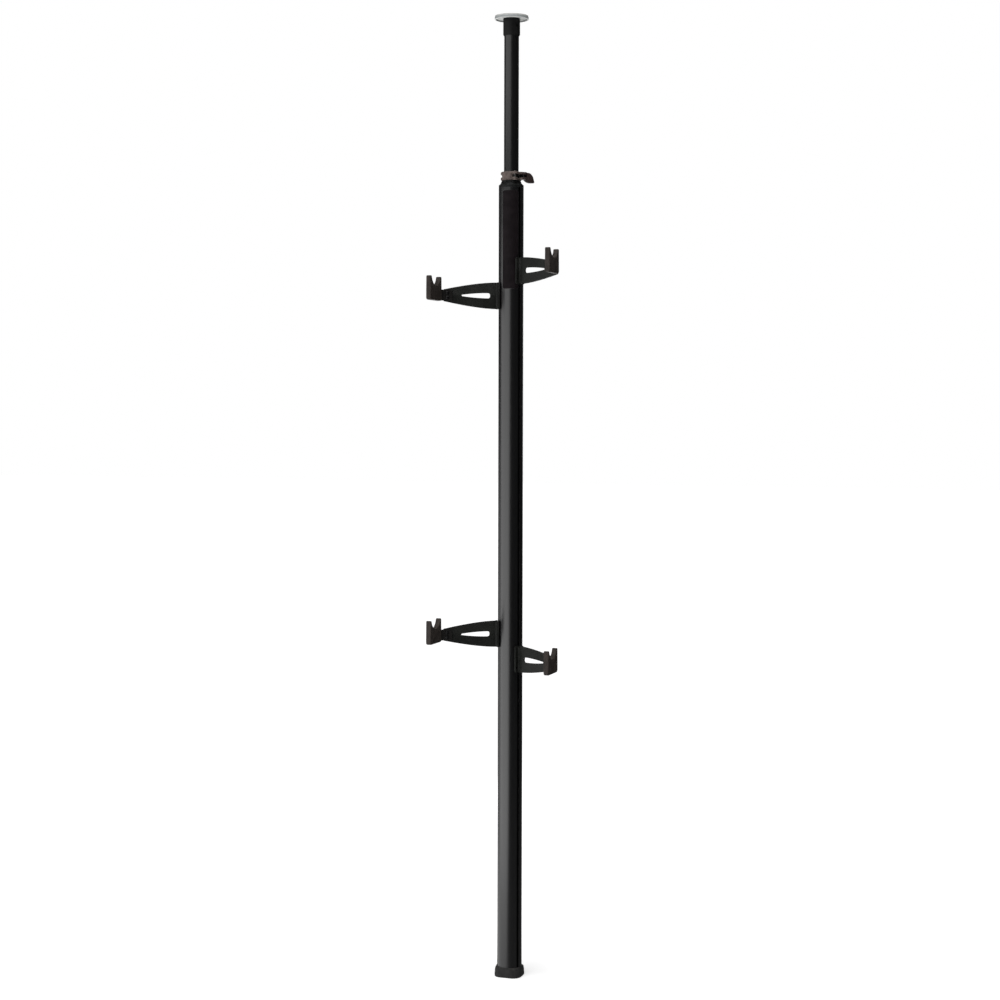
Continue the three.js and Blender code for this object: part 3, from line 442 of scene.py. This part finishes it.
@dataclass(frozen=True)
class Rubber(Finish):
    """Moulded rubber: matte, with a fine grain, soft runs, pale edges and dust on what faces up."""

    bloom: Colour = (0.12, 0.105, 0.095, 1.0)
    grain: float = 0.8 * MM
    depth: float = 0.05 * MM
    run_pitch: float = 11.0 * MM
    dust_pitch: float = 12.0 * MM
    rub: float = 0.25

    def paint(self, graph: Graph) -> None:
        """Grain and runs in relief, runs, pale edges and dust in colour."""
        point = graph.position()
        grain = graph.noise(point, self.grain, 4.0, 0.6)
        runs = graph.noise(graph.scaled(point, (1.0, 1.0, 0.55)), self.run_pitch, 3.0, 0.5)
        facing_up = graph.rising().eased(0.3, 0.95)
        dust = facing_up * graph.noise(point, self.dust_pitch, 4.0).eased(0.4, 0.7)
        rubbed = graph.edges(1.0 * MM) * self.rub
        tinted = graph.mix(runs.eased(0.3, 0.7), self.lighter(0.78), self.lighter(1.28))
        shown = graph.mix((dust * 0.35 + rubbed).held(), tinted, self.bloom)
        rough = self.roughness + (grain - 0.5) * 0.2 + dust * 0.1
        self.coat(graph, shown, rough, grain * 0.6 + runs * 2.0, self.depth, 0.6 * MM)


@dataclass(frozen=True)
class Moulding(Finish):
    """Injection moulded plastic: fine grain, flow marks, paler edges (handled wear, and painted
    highlights where their gain is high) and, if asked, painted shade on upright sides.
    """

    grain: float = 0.5 * MM
    depth: float = 0.02 * MM
    soil: float = 0.8
    painted_side_shade: float = 0.0
    side_shade_tint: tuple[float, float] = (1.04, 1.08)
    flow_pitch: float = 14.0 * MM
    edge_wear_and_highlight_gain: float = 1.9

    def paint(self, graph: Graph) -> None:
        """Grain in relief, flow marks, paler edges (wear and painted highlights) and painted shade
        on upright sides in colour.
        """
        point = graph.position()
        grain = graph.noise(point, self.grain, 3.0, 0.5)
        flow = graph.noise(point, self.flow_pitch, 4.0, 0.6)
        worn = graph.edges(0.6 * MM) * 0.3
        tinted = graph.mix(flow.eased(0.3, 0.7), self.lighter(self.soil), self.lighter(1.12))
        # Painted shade: faces that stand upright, such as the disc's rim and the wall of its hollow,
        # are darkened and tinted blue.
        if self.painted_side_shade > 0.0:
            upright = 1.0 - abs(graph.rising()).eased(0.2, 0.7)
            red, green, blue, alpha = self.lighter(1.0 - self.painted_side_shade)
            side = (red, green * self.side_shade_tint[0], blue * self.side_shade_tint[1], alpha)
            tinted = graph.mix(upright * 0.9, tinted, side)
        # Paler edges: handled wear, and painted highlights where the gain is high, as on the cap.
        shown = graph.mix(worn.held(), tinted, self.lighter(self.edge_wear_and_highlight_gain))
        rough = self.roughness + (grain - 0.5) * 0.15 + (flow - 0.5) * 0.08
        self.coat(graph, shown, rough, grain, self.depth, 0.4 * MM)


@dataclass(frozen=True)
class Steel(Finish):
    """Plated or oxidised steel with turning marks and a mottled film."""

    metallic: ClassVar[float] = 1.0

    mark_pitch: float = 0.35 * MM
    film: Colour = (0.3, 0.28, 0.25, 1.0)

    def paint(self, graph: Graph) -> None:
        """Turning marks in relief and roughness, the film in colour."""
        point = graph.position()
        marks = graph.noise(graph.scaled(point, (0.15, 0.15, 1.0)), self.mark_pitch, 3.0, 0.6)
        mottle = graph.noise(point, 5.0 * MM, 4.0, 0.6)
        worn = graph.edges(0.4 * MM) * 0.4
        tinted = graph.mix(mottle.eased(0.4, 0.75) * 0.5, self.colour, self.film)
        shown = graph.mix(worn.held(), tinted, self.lighter(1.7))
        rough = self.roughness + (marks - 0.5) * 0.14 + mottle.eased(0.4, 0.75) * 0.12
        self.coat(graph, shown, rough, marks, 0.006 * MM, 0.3 * MM)


@dataclass(frozen=True)
class Film(Finish):
    """Dark printed film with a faint orange peel, hairline scratches and a rubbed border."""

    scratch: Colour = (0.09, 0.08, 0.085, 1.0)

    def paint(self, graph: Graph) -> None:
        """Peel in relief, scratches and haze in colour and roughness."""
        point = graph.position()
        peel = graph.noise(point, 2.2 * MM, 2.0, 0.4)
        haze = graph.noise(point, 22.0 * MM, 4.0, 0.6)
        hairs = graph.noise(graph.scaled(point, (1.0, 1.0, 0.05)), 0.8 * MM, 4.0, 0.7)
        scratched = hairs.eased(0.68, 0.78) * haze.eased(0.45, 0.65) * 0.5
        border = graph.edges(0.8 * MM) * 0.3
        tinted = graph.mix(haze.eased(0.3, 0.7), self.lighter(0.75), self.lighter(1.3))
        shown = graph.mix((scratched + border).held(), tinted, self.scratch)
        rough = self.roughness + (haze - 0.5) * 0.16 + scratched * 0.3
        self.coat(graph, shown, rough, peel, 0.008 * MM, 0.3 * MM)


COLUMN_BLACK = Anodised("column_black", tone(9, 9, 10), 0.29, specular=0.78)
TUBE_BLACK = Anodised("tube_black", tone(11, 11, 12), 0.31, specular=0.54, rub=0.5)
ARM_BLACK = PowderCoat("arm_black", tone(27, 28, 26), 0.5, specular=0.13)
YOKE_BLACK = PowderCoat("yoke_black", tone(25, 24, 23), 0.5, specular=0.12, pebble=0.8 * MM)
CLAMP_GREY = Casting("clamp_warm_grey", tone(88, 78, 74), 0.5, specular=0.25)
# The cap's edges are lifted twenty times towards pale grey: painted highlights on its ribs and cone
# over a little handled wear.
CAP_BLACK = Moulding("cap_black", tone(21, 22, 22), 0.42, specular=0.15, edge_wear_and_highlight_gain=20.0)
INNER_BLACK = Moulding("inner_black", tone(28, 28, 29), 0.5, specular=0.3)
LEVER_BLACK = Moulding("lever_brown_black", tone(58, 48, 46), 0.48, specular=0.25, grain=0.8 * MM)
SLEEVE_BLACK = Moulding("sleeve_black", tone(25, 25, 25), 0.5, specular=0.1)
# The disc's upright rim and hollow wall carry painted shade, 62 percent darker and bluer.
DISC_GREY = Moulding(
    "disc_blue_grey",
    tone(208, 210, 208),
    0.55,
    specular=0.2,
    soil=0.92,
    painted_side_shade=0.62,
    edge_wear_and_highlight_gain=1.2,
)
PAD_GREY = Rubber("pad_grey", tone(176, 176, 172), 0.8, 0.3, bloom=(0.5, 0.49, 0.46, 1.0))
BOOT_RUBBER = Rubber("boot_rubber", tone(38, 38, 38), 0.68, specular=0.25)
CRADLE_RUBBER = Rubber(
    "dipped_rubber",
    tone(48, 43, 40),
    0.6,
    specular=0.15,
    bloom=(0.085, 0.074, 0.067, 1.0),
    rub=0.15,
)
PIN_STEEL = Steel("pin_steel", (0.15, 0.144, 0.138, 1.0), 0.34, film=(0.1, 0.093, 0.085, 1.0))
SPRING_STEEL = Steel("spring_steel", (0.5, 0.49, 0.47, 1.0), 0.32)
DARK_STEEL = Steel("oxide_steel", (0.03, 0.03, 0.031, 1.0), 0.42, film=(0.05, 0.047, 0.044, 1.0))
LABEL_FILM = Film("label_film", tone(22, 18, 20), 0.55, specular=0.06)


class Corner(Enum):
    """How sharply two faces must meet for their edge to stay sharp in the shading."""

    SOFT = math.radians(50.0)
    PLAIN = math.radians(28.0)


class Smoother:
    """Shades CAD nodes smooth between faces that meet at a small angle, through one modifier."""

    def __init__(self) -> None:
        """Starts without a node group for any corner."""
        self.groups: dict[Corner, bpy.types.NodeTree] = {}

    def apply(self, piece: bpy.types.Object, corner: Corner) -> None:
        """Gives a piece the modifier.

        Args:
            piece: The object to shade smooth.
            corner: Which edges stay sharp.
        """
        if corner not in self.groups:
            self.groups[corner] = self._group(corner)
        modifier = piece.modifiers.new("smooth", "NODES")
        modifier.node_group = self.groups[corner]

    @staticmethod
    def _group(corner: Corner) -> bpy.types.NodeTree:
        """Builds the node group for one corner.

        Args:
            corner: Which edges stay sharp.

        Returns:
            The node group.
        """
        tree = bpy.data.node_groups.new(f"smooth_{corner.name.lower()}", "GeometryNodeTree")
        for way in ("INPUT", "OUTPUT"):
            tree.interface.new_socket("Geometry", in_out=way, socket_type="NodeSocketGeometry")
        made = {
            kind: tree.nodes.new(kind)
            for kind in (
                "NodeGroupInput",
                "GeometryNodeMergeByDistance",
                "GeometryNodeRemoveAttribute",
                "GeometryNodeInputMeshEdgeAngle",
                "FunctionNodeCompare",
                "NodeGroupOutput",
            )
        }
        merge = made["GeometryNodeMergeByDistance"]
        strip = made["GeometryNodeRemoveAttribute"]
        compare = made["FunctionNodeCompare"]
        merge.inputs["Distance"].default_value = WELD_DISTANCE
        strip.inputs["Name"].default_value = "custom_normal"
        compare.data_type, compare.operation = "FLOAT", "LESS_EQUAL"
        compare.inputs[1].default_value = corner.value
        faces = tree.nodes.new("GeometryNodeSetShadeSmooth")
        edges = tree.nodes.new("GeometryNodeSetShadeSmooth")
        faces.domain, edges.domain = "FACE", "EDGE"
        link = tree.links.new
        link(made["NodeGroupInput"].outputs[0], merge.inputs[0])
        link(merge.outputs[0], strip.inputs[0])
        link(strip.outputs[0], faces.inputs[0])
        link(faces.outputs[0], edges.inputs[0])
        link(made["GeometryNodeInputMeshEdgeAngle"].outputs[0], compare.inputs[0])
        link(compare.outputs[0], edges.inputs["Shade Smooth"])
        link(edges.outputs[0], made["NodeGroupOutput"].inputs[0])
        return tree


class Workshop:
    """Dresses CAD nodes and makes new pieces on the bodies of the frame."""

    def __init__(self, frame: Mapping[str, object]) -> None:
        """Keeps the frame's nodes and the one smoother."""
        self.nodes: Mapping[str, bpy.types.Object] = frame["nodes"]
        self.smoother = Smoother()

    def dress(self, name: str, finish: Finish, corner: Corner = Corner.PLAIN) -> None:
        """Gives a CAD node its finish and its smooth shading.

        Args:
            name: The CAD node.
            finish: What it is finished in.
            corner: Which of its edges stay sharp.
        """
        node = self.nodes[name]
        node.data.materials.clear()
        node.data.materials.append(finish.material())
        self.smoother.apply(node, corner)
        log.info("%s is finished in %s", name, finish.name)

    def skin(
        self, name: str, mesh: bmesh.types.BMesh, finish: Finish, body: str, slot: str
    ) -> bpy.types.Object:
        """Makes a new piece.

        Args:
            name: The piece's name.
            mesh: Its mesh, in the row frame.
            finish: What it is finished in.
            body: The CAD body that it rides on.
            slot: The record's material slot; not used.

        Returns:
            The new object.
        """
        data = bpy.data.meshes.new(name)
        bmesh.ops.recalc_face_normals(mesh, faces=mesh.faces)
        mesh.to_mesh(data)
        mesh.free()
        piece = bpy.data.objects.new(name, data)
        bpy.context.scene.collection.objects.link(piece)
        data.materials.append(finish.material())
        self.smoother.apply(piece, Corner.PLAIN)
        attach(piece, body)
        log.info("%s is made in %s", name, finish.name)
        return piece


def arc(centre: Point, radius: float, start: float, end: float, steps: int) -> list[Point]:
    """Points along an arc.

    Args:
        centre: The arc's centre.
        radius: Its radius.
        start: Angle of its first point, in degrees.
        end: Angle of its last point, in degrees.
        steps: How many spans it has.

    Returns:
        The points, both ends included.
    """
    turns = [math.radians(start + (end - start) * i / steps) for i in range(steps + 1)]
    return [(centre[0] + radius * math.cos(a), centre[1] + radius * math.sin(a)) for a in turns]


def inset(outline: Sequence[Point], depth: float) -> list[Point]:
    """Moves a closed outline inwards.

    Args:
        outline: Points, counter-clockwise.
        depth: How far it moves.

    Returns:
        The moved points, one for each of the outline's.
    """
    moved = []
    for i, point in enumerate(outline):
        here = Vector(point)
        before = (here - Vector(outline[i - 1])).normalized()
        after = (Vector(outline[(i + 1) % len(outline)]) - here).normalized()
        along = (before + after).normalized()
        reach = depth / max(0.5, along.dot(before))
        moved.append((here.x - along.y * reach, here.y + along.x * reach))
    return moved


def strip_between(mesh: bmesh.types.BMesh, rings: Sequence[Sequence[Vector]]) -> None:
    """Adds a closed skin through rings of equal count, with a flat face at each end.

    Args:
        mesh: What the skin is added to.
        rings: The rings, each a closed loop.
    """
    loops = [[mesh.verts.new(point) for point in ring] for ring in rings]
    for low, high in zip(loops, loops[1:]):
        for i in range(len(low)):
            j = (i + 1) % len(low)
            mesh.faces.new((low[i], low[j], high[j], high[i]))
    mesh.faces.new(list(reversed(loops[0])))
    mesh.faces.new(loops[-1])


@dataclass(frozen=True)
class CradleCover:
    """The rubber cover of a cradle, with a ribbed saddle. Its side view runs forwards and up."""

    length: float = 78.0 * MM
    top_length: float = 75.5 * MM
    rise: float = 44.3 * MM
    drop: float = 15.6 * MM
    thickness: float = 13.2 * MM
    corner: float = 7.0 * MM
    prong_corner: float = 2.6 * MM
    mouth_corner: float = 2.4 * MM
    notch_radius: float = 33.0 * MM
    notch_centre: float = 54.5 * MM
    rounding: float = 2.2 * MM
    rib_depth: float = 0.35 * MM
    rib_count: int = 17
    rib_spans: int = 6
    corner_spans: int = 8
    lip_spans: int = 5
    rounding_spans: int = 4
    out: float = 153.4 * MM
    forward: float = 145.5 * MM

    def side_view(self) -> list[Point]:
        """Outline of the cover seen from its side, counter-clockwise."""
        half, top = self.length / 2, self.top_length / 2
        corner, prong = self.corner, self.prong_corner
        fillet = self.mouth_corner
        above = self.notch_centre - self.rise + fillet
        beside = math.sqrt((self.notch_radius + fillet) ** 2 - above**2)
        mouth = math.degrees(math.atan2(above, beside))
        steps = self.rib_count * self.rib_spans
        wide, lip = self.corner_spans, self.lip_spans
        saddle = []
        for i in range(steps + 1):
            share = i / steps
            wave = 0.5 - 0.5 * math.cos(2 * math.pi * self.rib_count * share)
            turn = math.radians(-mouth - (180.0 - 2 * mouth) * share)
            fade = min(1.0, 8 * share, 8 - 8 * share)
            reach = self.notch_radius + self.rib_depth * wave * fade
            saddle.append((reach * math.cos(turn), self.notch_centre + reach * math.sin(turn)))
        return [
            *arc((corner - half, corner - self.drop), corner, 180.0, 270.0, wide),
            *arc((half - corner, corner - self.drop), corner, 270.0, 360.0, wide),
            *arc((top - prong, self.rise - prong), prong, 0.0, 90.0, lip),
            *arc((beside, self.rise - fillet), fillet, 90.0, 180.0 - mouth, lip)[:-1],
            *saddle,
            *arc((-beside, self.rise - fillet), fillet, mouth, 90.0, lip)[1:],
            *arc((prong - top, self.rise - prong), prong, 90.0, 180.0, lip),
        ]

    def build(self, side: int, height: float) -> bmesh.types.BMesh:
        """Makes the cover's mesh in place.

        Args:
            side: -1 on the left, 1 on the right.
            height: Height of the arm's centre line.

        Returns:
            The mesh, in the row frame.
        """
        outline = self.side_view()
        steps = self.rounding_spans
        rings = []
        for i in range(2 * steps + 2):
            turn = min(i, 2 * steps + 1 - i) / steps * math.pi / 2
            depth = self.rounding * (1.0 - math.sin(turn))
            across = self.rounding * (1.0 - math.cos(turn))
            x = across if i <= steps else self.thickness - across
            rings.append(
                [
                    Vector((
                        side * self.out + x - self.thickness / 2,
                        -self.forward - along,
                        height + up,
                    ))
                    for along, up in inset(outline, depth)
                ]
            )
        mesh = bmesh.new()
        strip_between(mesh, rings)
        return mesh


@dataclass(frozen=True)
class ArmAssembly:
    """One arm: a slotted plate with its screws, and a yoke with a rubber cover."""

    name: str
    side: int
    height: float
    cover: CradleCover = CradleCover()

    def build(self, shop: Workshop) -> None:
        """Dresses the arm's nodes and makes its cover."""
        creased = f"{self.name}_black"
        coat = replace(ARM_BLACK, name=creased, crease_height=self.height)
        shop.dress(f"{self.name}_arm", coat)
        shop.dress(f"{self.name}_yoke", YOKE_BLACK)
        for screw in ("lock_screw_front", "lock_screw_rear", "yoke_screw_upper", "yoke_screw_lower"):
            shop.dress(f"{self.name}_{screw}", DARK_STEEL)
        mesh = self.cover.build(self.side, self.height)
        body = f"{self.name}_arm"
        skin = shop.skin(f"{self.name}_cover_skin", mesh, CRADLE_RUBBER, body, "cradle_rubber")
        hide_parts(f"{self.name}_cradle_cover")


@dataclass(frozen=True)
class Foot:
    """The rubber boot on the floor and the plug in the column's end."""

    def build(self, shop: Workshop) -> None:
        """Dresses the foot's nodes."""
        shop.dress("foot_boot", BOOT_RUBBER)
        shop.dress("foot_plug", INNER_BLACK)


@dataclass(frozen=True)
class Column:
    """The extruded column with its label and the cap in its upper end."""

    def build(self, shop: Workshop) -> None:
        """Dresses the column's nodes."""
        shop.dress("column_extrusion", COLUMN_BLACK)
        shop.dress("column_label", LABEL_FILM)
        shop.dress("column_cap", CAP_BLACK)
        shop.dress("cap_screw", DARK_STEEL)


@dataclass(frozen=True)
class Clamp:
    """The quick-release clamp round the cap's split neck."""

    def build(self, shop: Workshop) -> None:
        """Dresses the clamp's nodes."""
        shop.dress("clamp_ring", CLAMP_GREY)
        shop.dress("clamp_barrel", PIN_STEEL)
        shop.dress("clamp_tie_bolt", DARK_STEEL)
        shop.dress("clamp_lever_pin", DARK_STEEL)
        shop.dress("clamp_lever", LEVER_BLACK, Corner.SOFT)


@dataclass(frozen=True)
class TopSpring:
    """The wound spring under the ceiling cap. The real spring shortens as the cap goes down."""

    wire: float = 1.3 * MM
    radius: float = 12.6 * MM
    turns: int = 9
    travel: float = 6.0 * MM
    spans: int = 24
    sides: int = 14

    def coil(self, low: float, high: float) -> bmesh.types.BMesh:
        """Makes the coil's mesh.

        Args:
            low: Height of the wire's middle at the lower end.
            high: Height of the wire's middle at the upper end.

        Returns:
            The mesh, in the row frame.
        """
        rings = []
        count = self.turns * self.spans
        for i in range(count + 1):
            turn = 2 * math.pi * self.turns * i / count
            outward = Vector((math.cos(turn), math.sin(turn), 0.0))
            middle = self.radius * outward + Vector((0.0, 0.0, low + (high - low) * i / count))
            round_wire = arc((0.0, 0.0), self.wire, 0.0, 360.0, self.sides)[:-1]
            rings.append([middle + a * outward + Vector((0.0, 0.0, b)) for a, b in round_wire])
        mesh = bmesh.new()
        strip_between(mesh, rings)
        return mesh

    def build(self, shop: Workshop) -> None:
        """Makes the coil in its node's place, on a mesh of its own, and hides the node."""
        low, high = (corner[2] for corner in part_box("top_spring"))
        mesh = self.coil(low + self.wire, high - self.wire)
        coil = shop.skin("top_spring_coil", mesh, SPRING_STEEL, "upper_tube", "bright_steel")
        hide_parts("top_spring")
        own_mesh(coil)


@dataclass(frozen=True)
class UpperTube:
    """The sliding tube with its bush, and the spring that it carries."""

    spring: TopSpring = TopSpring()

    def build(self, shop: Workshop) -> None:
        """Dresses the tube's nodes and makes its spring."""
        shop.dress("upper_tube", TUBE_BLACK)
        shop.dress("tube_guide_bush", INNER_BLACK)
        shop.dress("spring_seat", INNER_BLACK)
        self.spring.build(shop)


@dataclass(frozen=True)
class CeilingCap:
    """The sprung cap: sleeve, disc, pad and their screws."""

    def build(self, shop: Workshop) -> None:
        """Dresses the cap's nodes."""
        shop.dress("cap_sleeve", SLEEVE_BLACK)
        shop.dress("travel_screw", DARK_STEEL)
        shop.dress("ceiling_disc", DISC_GREY)
        shop.dress("disc_screw", DARK_STEEL)
        shop.dress("ceiling_pad", PAD_GREY)


@dataclass(frozen=True)
class Lamp:
    """A square area lamp that looks at a point, placed by its turn from the front."""

    name: str
    turn: float
    distance: float
    height: float
    aim: float
    wide: float
    tall: float
    radiance: float
    in_gloss: bool = True

    def build(self) -> None:
        """Makes the lamp. Its power follows from how bright its face looks."""
        data = bpy.data.lights.new(self.name, "AREA")
        data.shape, data.size, data.size_y = "RECTANGLE", self.wide, self.tall
        data.energy = self.radiance * math.pi * self.wide * self.tall
        lamp = bpy.data.objects.new(self.name, data)
        bpy.context.scene.collection.objects.link(lamp)
        turn = math.radians(self.turn)
        lamp.location = (
            self.distance * math.sin(turn),
            -self.distance * math.cos(turn),
            self.height,
        )
        look = Vector((0.0, 0.0, self.aim)) - lamp.location
        lamp.rotation_mode = "QUATERNION"
        lamp.rotation_quaternion = look.to_track_quat("-Z", "Y")
        lamp.visible_camera = False
        lamp.visible_glossy = self.in_gloss
        log.info("lamp %s", self.name)


@dataclass(frozen=True)
class Studio:
    """Pale floor, pale background and soft lamps. Glossy rays see a dimmer room at the sides."""

    ambient: float = 0.12
    gloss_ambient: float = 0.05
    floor_half: float = 30.0
    floor_lift: float = 0.5
    gloss_lift: float = 0.5
    floor_turn: float = math.radians(-3.0)
    shadow_near: float = 0.08
    shadow_far: float = 0.5
    behind_start: float = 0.985
    behind_full: float = 0.998
    lit_edge: float = 0.06
    grain_pitch: float = 0.4

    def build(self) -> None:
        """Makes the floor, the world and the lamps."""
        self._world()
        self._floor()
        lamps = (
            Lamp(
                "key_panel", turn=-37.0, distance=1.0, height=1.0, aim=1.0,
                wide=2.07, tall=2.0, radiance=1.5,
            ),
            Lamp(
                "top_panel", turn=-37.0, distance=1.0, height=2.6, aim=2.6,
                wide=2.07, tall=0.7, radiance=1.5,
            ),
            Lamp(
                "overhead", turn=15.0, distance=0.9, height=4.2, aim=1.2,
                wide=1.6, tall=1.6, radiance=6.0,
            ),
            Lamp(
                "right_fill", turn=66.0, distance=3.0, height=1.2, aim=1.5,
                wide=2.4, tall=2.4, radiance=1.3, in_gloss=False,
            ),
            Lamp(
                "rear_panel", turn=-162.0, distance=2.6, height=1.6, aim=1.3,
                wide=1.4, tall=2.6, radiance=1.6,
            ),
        )
        for lamp in lamps:
            lamp.build()

    def _world(self) -> None:
        """White to the camera, white to glossy rays straight behind the object, dim elsewhere."""
        world = bpy.data.worlds.new("pale_room")
        bpy.context.scene.world = world
        graph = Graph(world)
        path = graph.add("ShaderNodeLightPath", {}, {})
        direction = graph.add("ShaderNodeTexCoord", {}, {}).outputs["Generated"]
        behind = graph.parts(direction)[1].eased(self.behind_start, self.behind_full)
        camera = Wire(graph, path.outputs["Is Camera Ray"])
        gloss = Wire(graph, path.outputs["Is Glossy Ray"])
        through = Wire(graph, path.outputs["Is Transmission Ray"])
        seen = camera.most(gloss.most(through) * behind)
        dim = self.ambient - gloss * (self.ambient - self.gloss_ambient)
        strength = dim + seen * (1.0 - dim)
        shader = graph.add(
            "ShaderNodeBackground", {}, {"Color": WHITE, "Strength": strength}
        )
        graph.add("ShaderNodeOutputWorld", {}, {"Surface": shader.outputs[0]})

    def _floor(self) -> None:
        """A wide pale floor that shows white to the camera and keeps the shadow. To glossy rays it
        glows on the lit side and is painted dark grey on the other: painted light and painted shade
        in reflections.
        """
        half = self.floor_half
        mesh = bmesh.new()
        corners = [(-half, -half), (half, -half), (half, half), (-half, half)]
        mesh.faces.new([mesh.verts.new((x, y, 0.0)) for x, y in corners])
        data = bpy.data.meshes.new("studio_floor")
        mesh.to_mesh(data)
        mesh.free()
        floor = bpy.data.objects.new("studio_floor", data)
        bpy.context.scene.collection.objects.link(floor)
        material = bpy.data.materials.new("studio_floor")
        graph = Graph(material)
        path = graph.add("ShaderNodeLightPath", {}, {})
        point = graph.position()
        flat = graph.add("ShaderNodeVectorMath", {"operation": "LENGTH"}, {0: point})
        far = Wire(graph, flat.outputs["Value"]).eased(self.shadow_near, self.shadow_far)
        camera = Wire(graph, path.outputs["Is Camera Ray"])
        gloss = Wire(graph, path.outputs["Is Glossy Ray"]).most(
            Wire(graph, path.outputs["Is Transmission Ray"])
        )
        across, along, _ = graph.parts(point)
        side = across * math.cos(self.floor_turn) + along * math.sin(self.floor_turn)
        # Painted light and shade in reflections: to glossy rays the floor glows where it is lit and
        # turns dark grey past the lit edge.
        lit = (0.0 - side).eased(-self.lit_edge, self.lit_edge)
        to_camera = camera * (self.floor_lift + far * (1.0 - self.floor_lift))
        lift = to_camera + gloss * lit * self.gloss_lift
        grain = graph.noise(point, self.grain_pitch)
        plain = graph.mix(grain, tone(226, 226, 226), tone(230, 230, 230))
        base = graph.mix(gloss * (1.0 - lit), plain, tone(110, 110, 110))
        matte = graph.add("ShaderNodeBsdfDiffuse", {}, {"Color": base})
        glow = graph.add("ShaderNodeEmission", {}, {"Strength": lift})
        both = graph.add("ShaderNodeAddShader", {}, {0: matte.outputs[0], 1: glow.outputs[0]})
        graph.add("ShaderNodeOutputMaterial", {}, {"Surface": both.outputs[0]})
        data.materials.append(material)
        log.info("floor and background")


@dataclass(frozen=True)
class ViewPoint:
    """The photograph's camera: its place, its turns in radians and its picture's middle."""

    place: tuple[float, float, float] = (1.6026, -4.8037, 1.4669)
    turn: float = 0.322
    dip: float = 0.0483
    roll: float = 0.0024
    focal_pixels: float = 1994.07
    middle: float = 510.55
    sensor: float = 36.0

    def build(self) -> None:
        """Makes the camera and gives it to the scene."""
        ahead = Vector((
            -math.sin(self.turn) * math.cos(self.dip),
            math.cos(self.turn) * math.cos(self.dip),
            -math.sin(self.dip),
        ))
        right = Vector((math.cos(self.turn), math.sin(self.turn), 0.0))
        up = right.cross(ahead)
        across = math.cos(self.roll) * right + math.sin(self.roll) * up
        above = math.cos(self.roll) * up - math.sin(self.roll) * right
        data = bpy.data.cameras.new("photo_camera")
        data.sensor_width = self.sensor
        data.lens = self.sensor * self.focal_pixels / PICTURE
        data.shift_x = (PICTURE / 2 - self.middle) / PICTURE
        camera = bpy.data.objects.new("photo_camera", data)
        bpy.context.scene.collection.objects.link(camera)
        axes = Matrix((across, above, -ahead)).transposed()
        camera.matrix_world = Matrix.Translation(self.place) @ axes.to_4x4()
        bpy.context.scene.camera = camera
        log.info("camera")


def main() -> None:
    """Loads the frame, dresses it, and sets the studio and the camera."""
    logging.basicConfig(level=logging.INFO, format="%(message)s")
    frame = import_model()
    bpy.context.scene.view_settings.view_transform = "Standard"
    shop = Workshop(frame)
    assemblies = (
        Foot(),
        Column(),
        Clamp(),
        UpperTube(),
        CeilingCap(),
        ArmAssembly("upper_left", side=-1, height=1738.6 * MM),
        ArmAssembly("upper_right", side=1, height=1800.8 * MM),
        ArmAssembly("lower_left", side=-1, height=881.7 * MM),
        ArmAssembly("lower_right", side=1, height=819.0 * MM),
    )
    for assembly in assemblies:
        assembly.build(shop)
    Studio().build()
    ViewPoint().build()


if __name__ == "__main__":
    main()
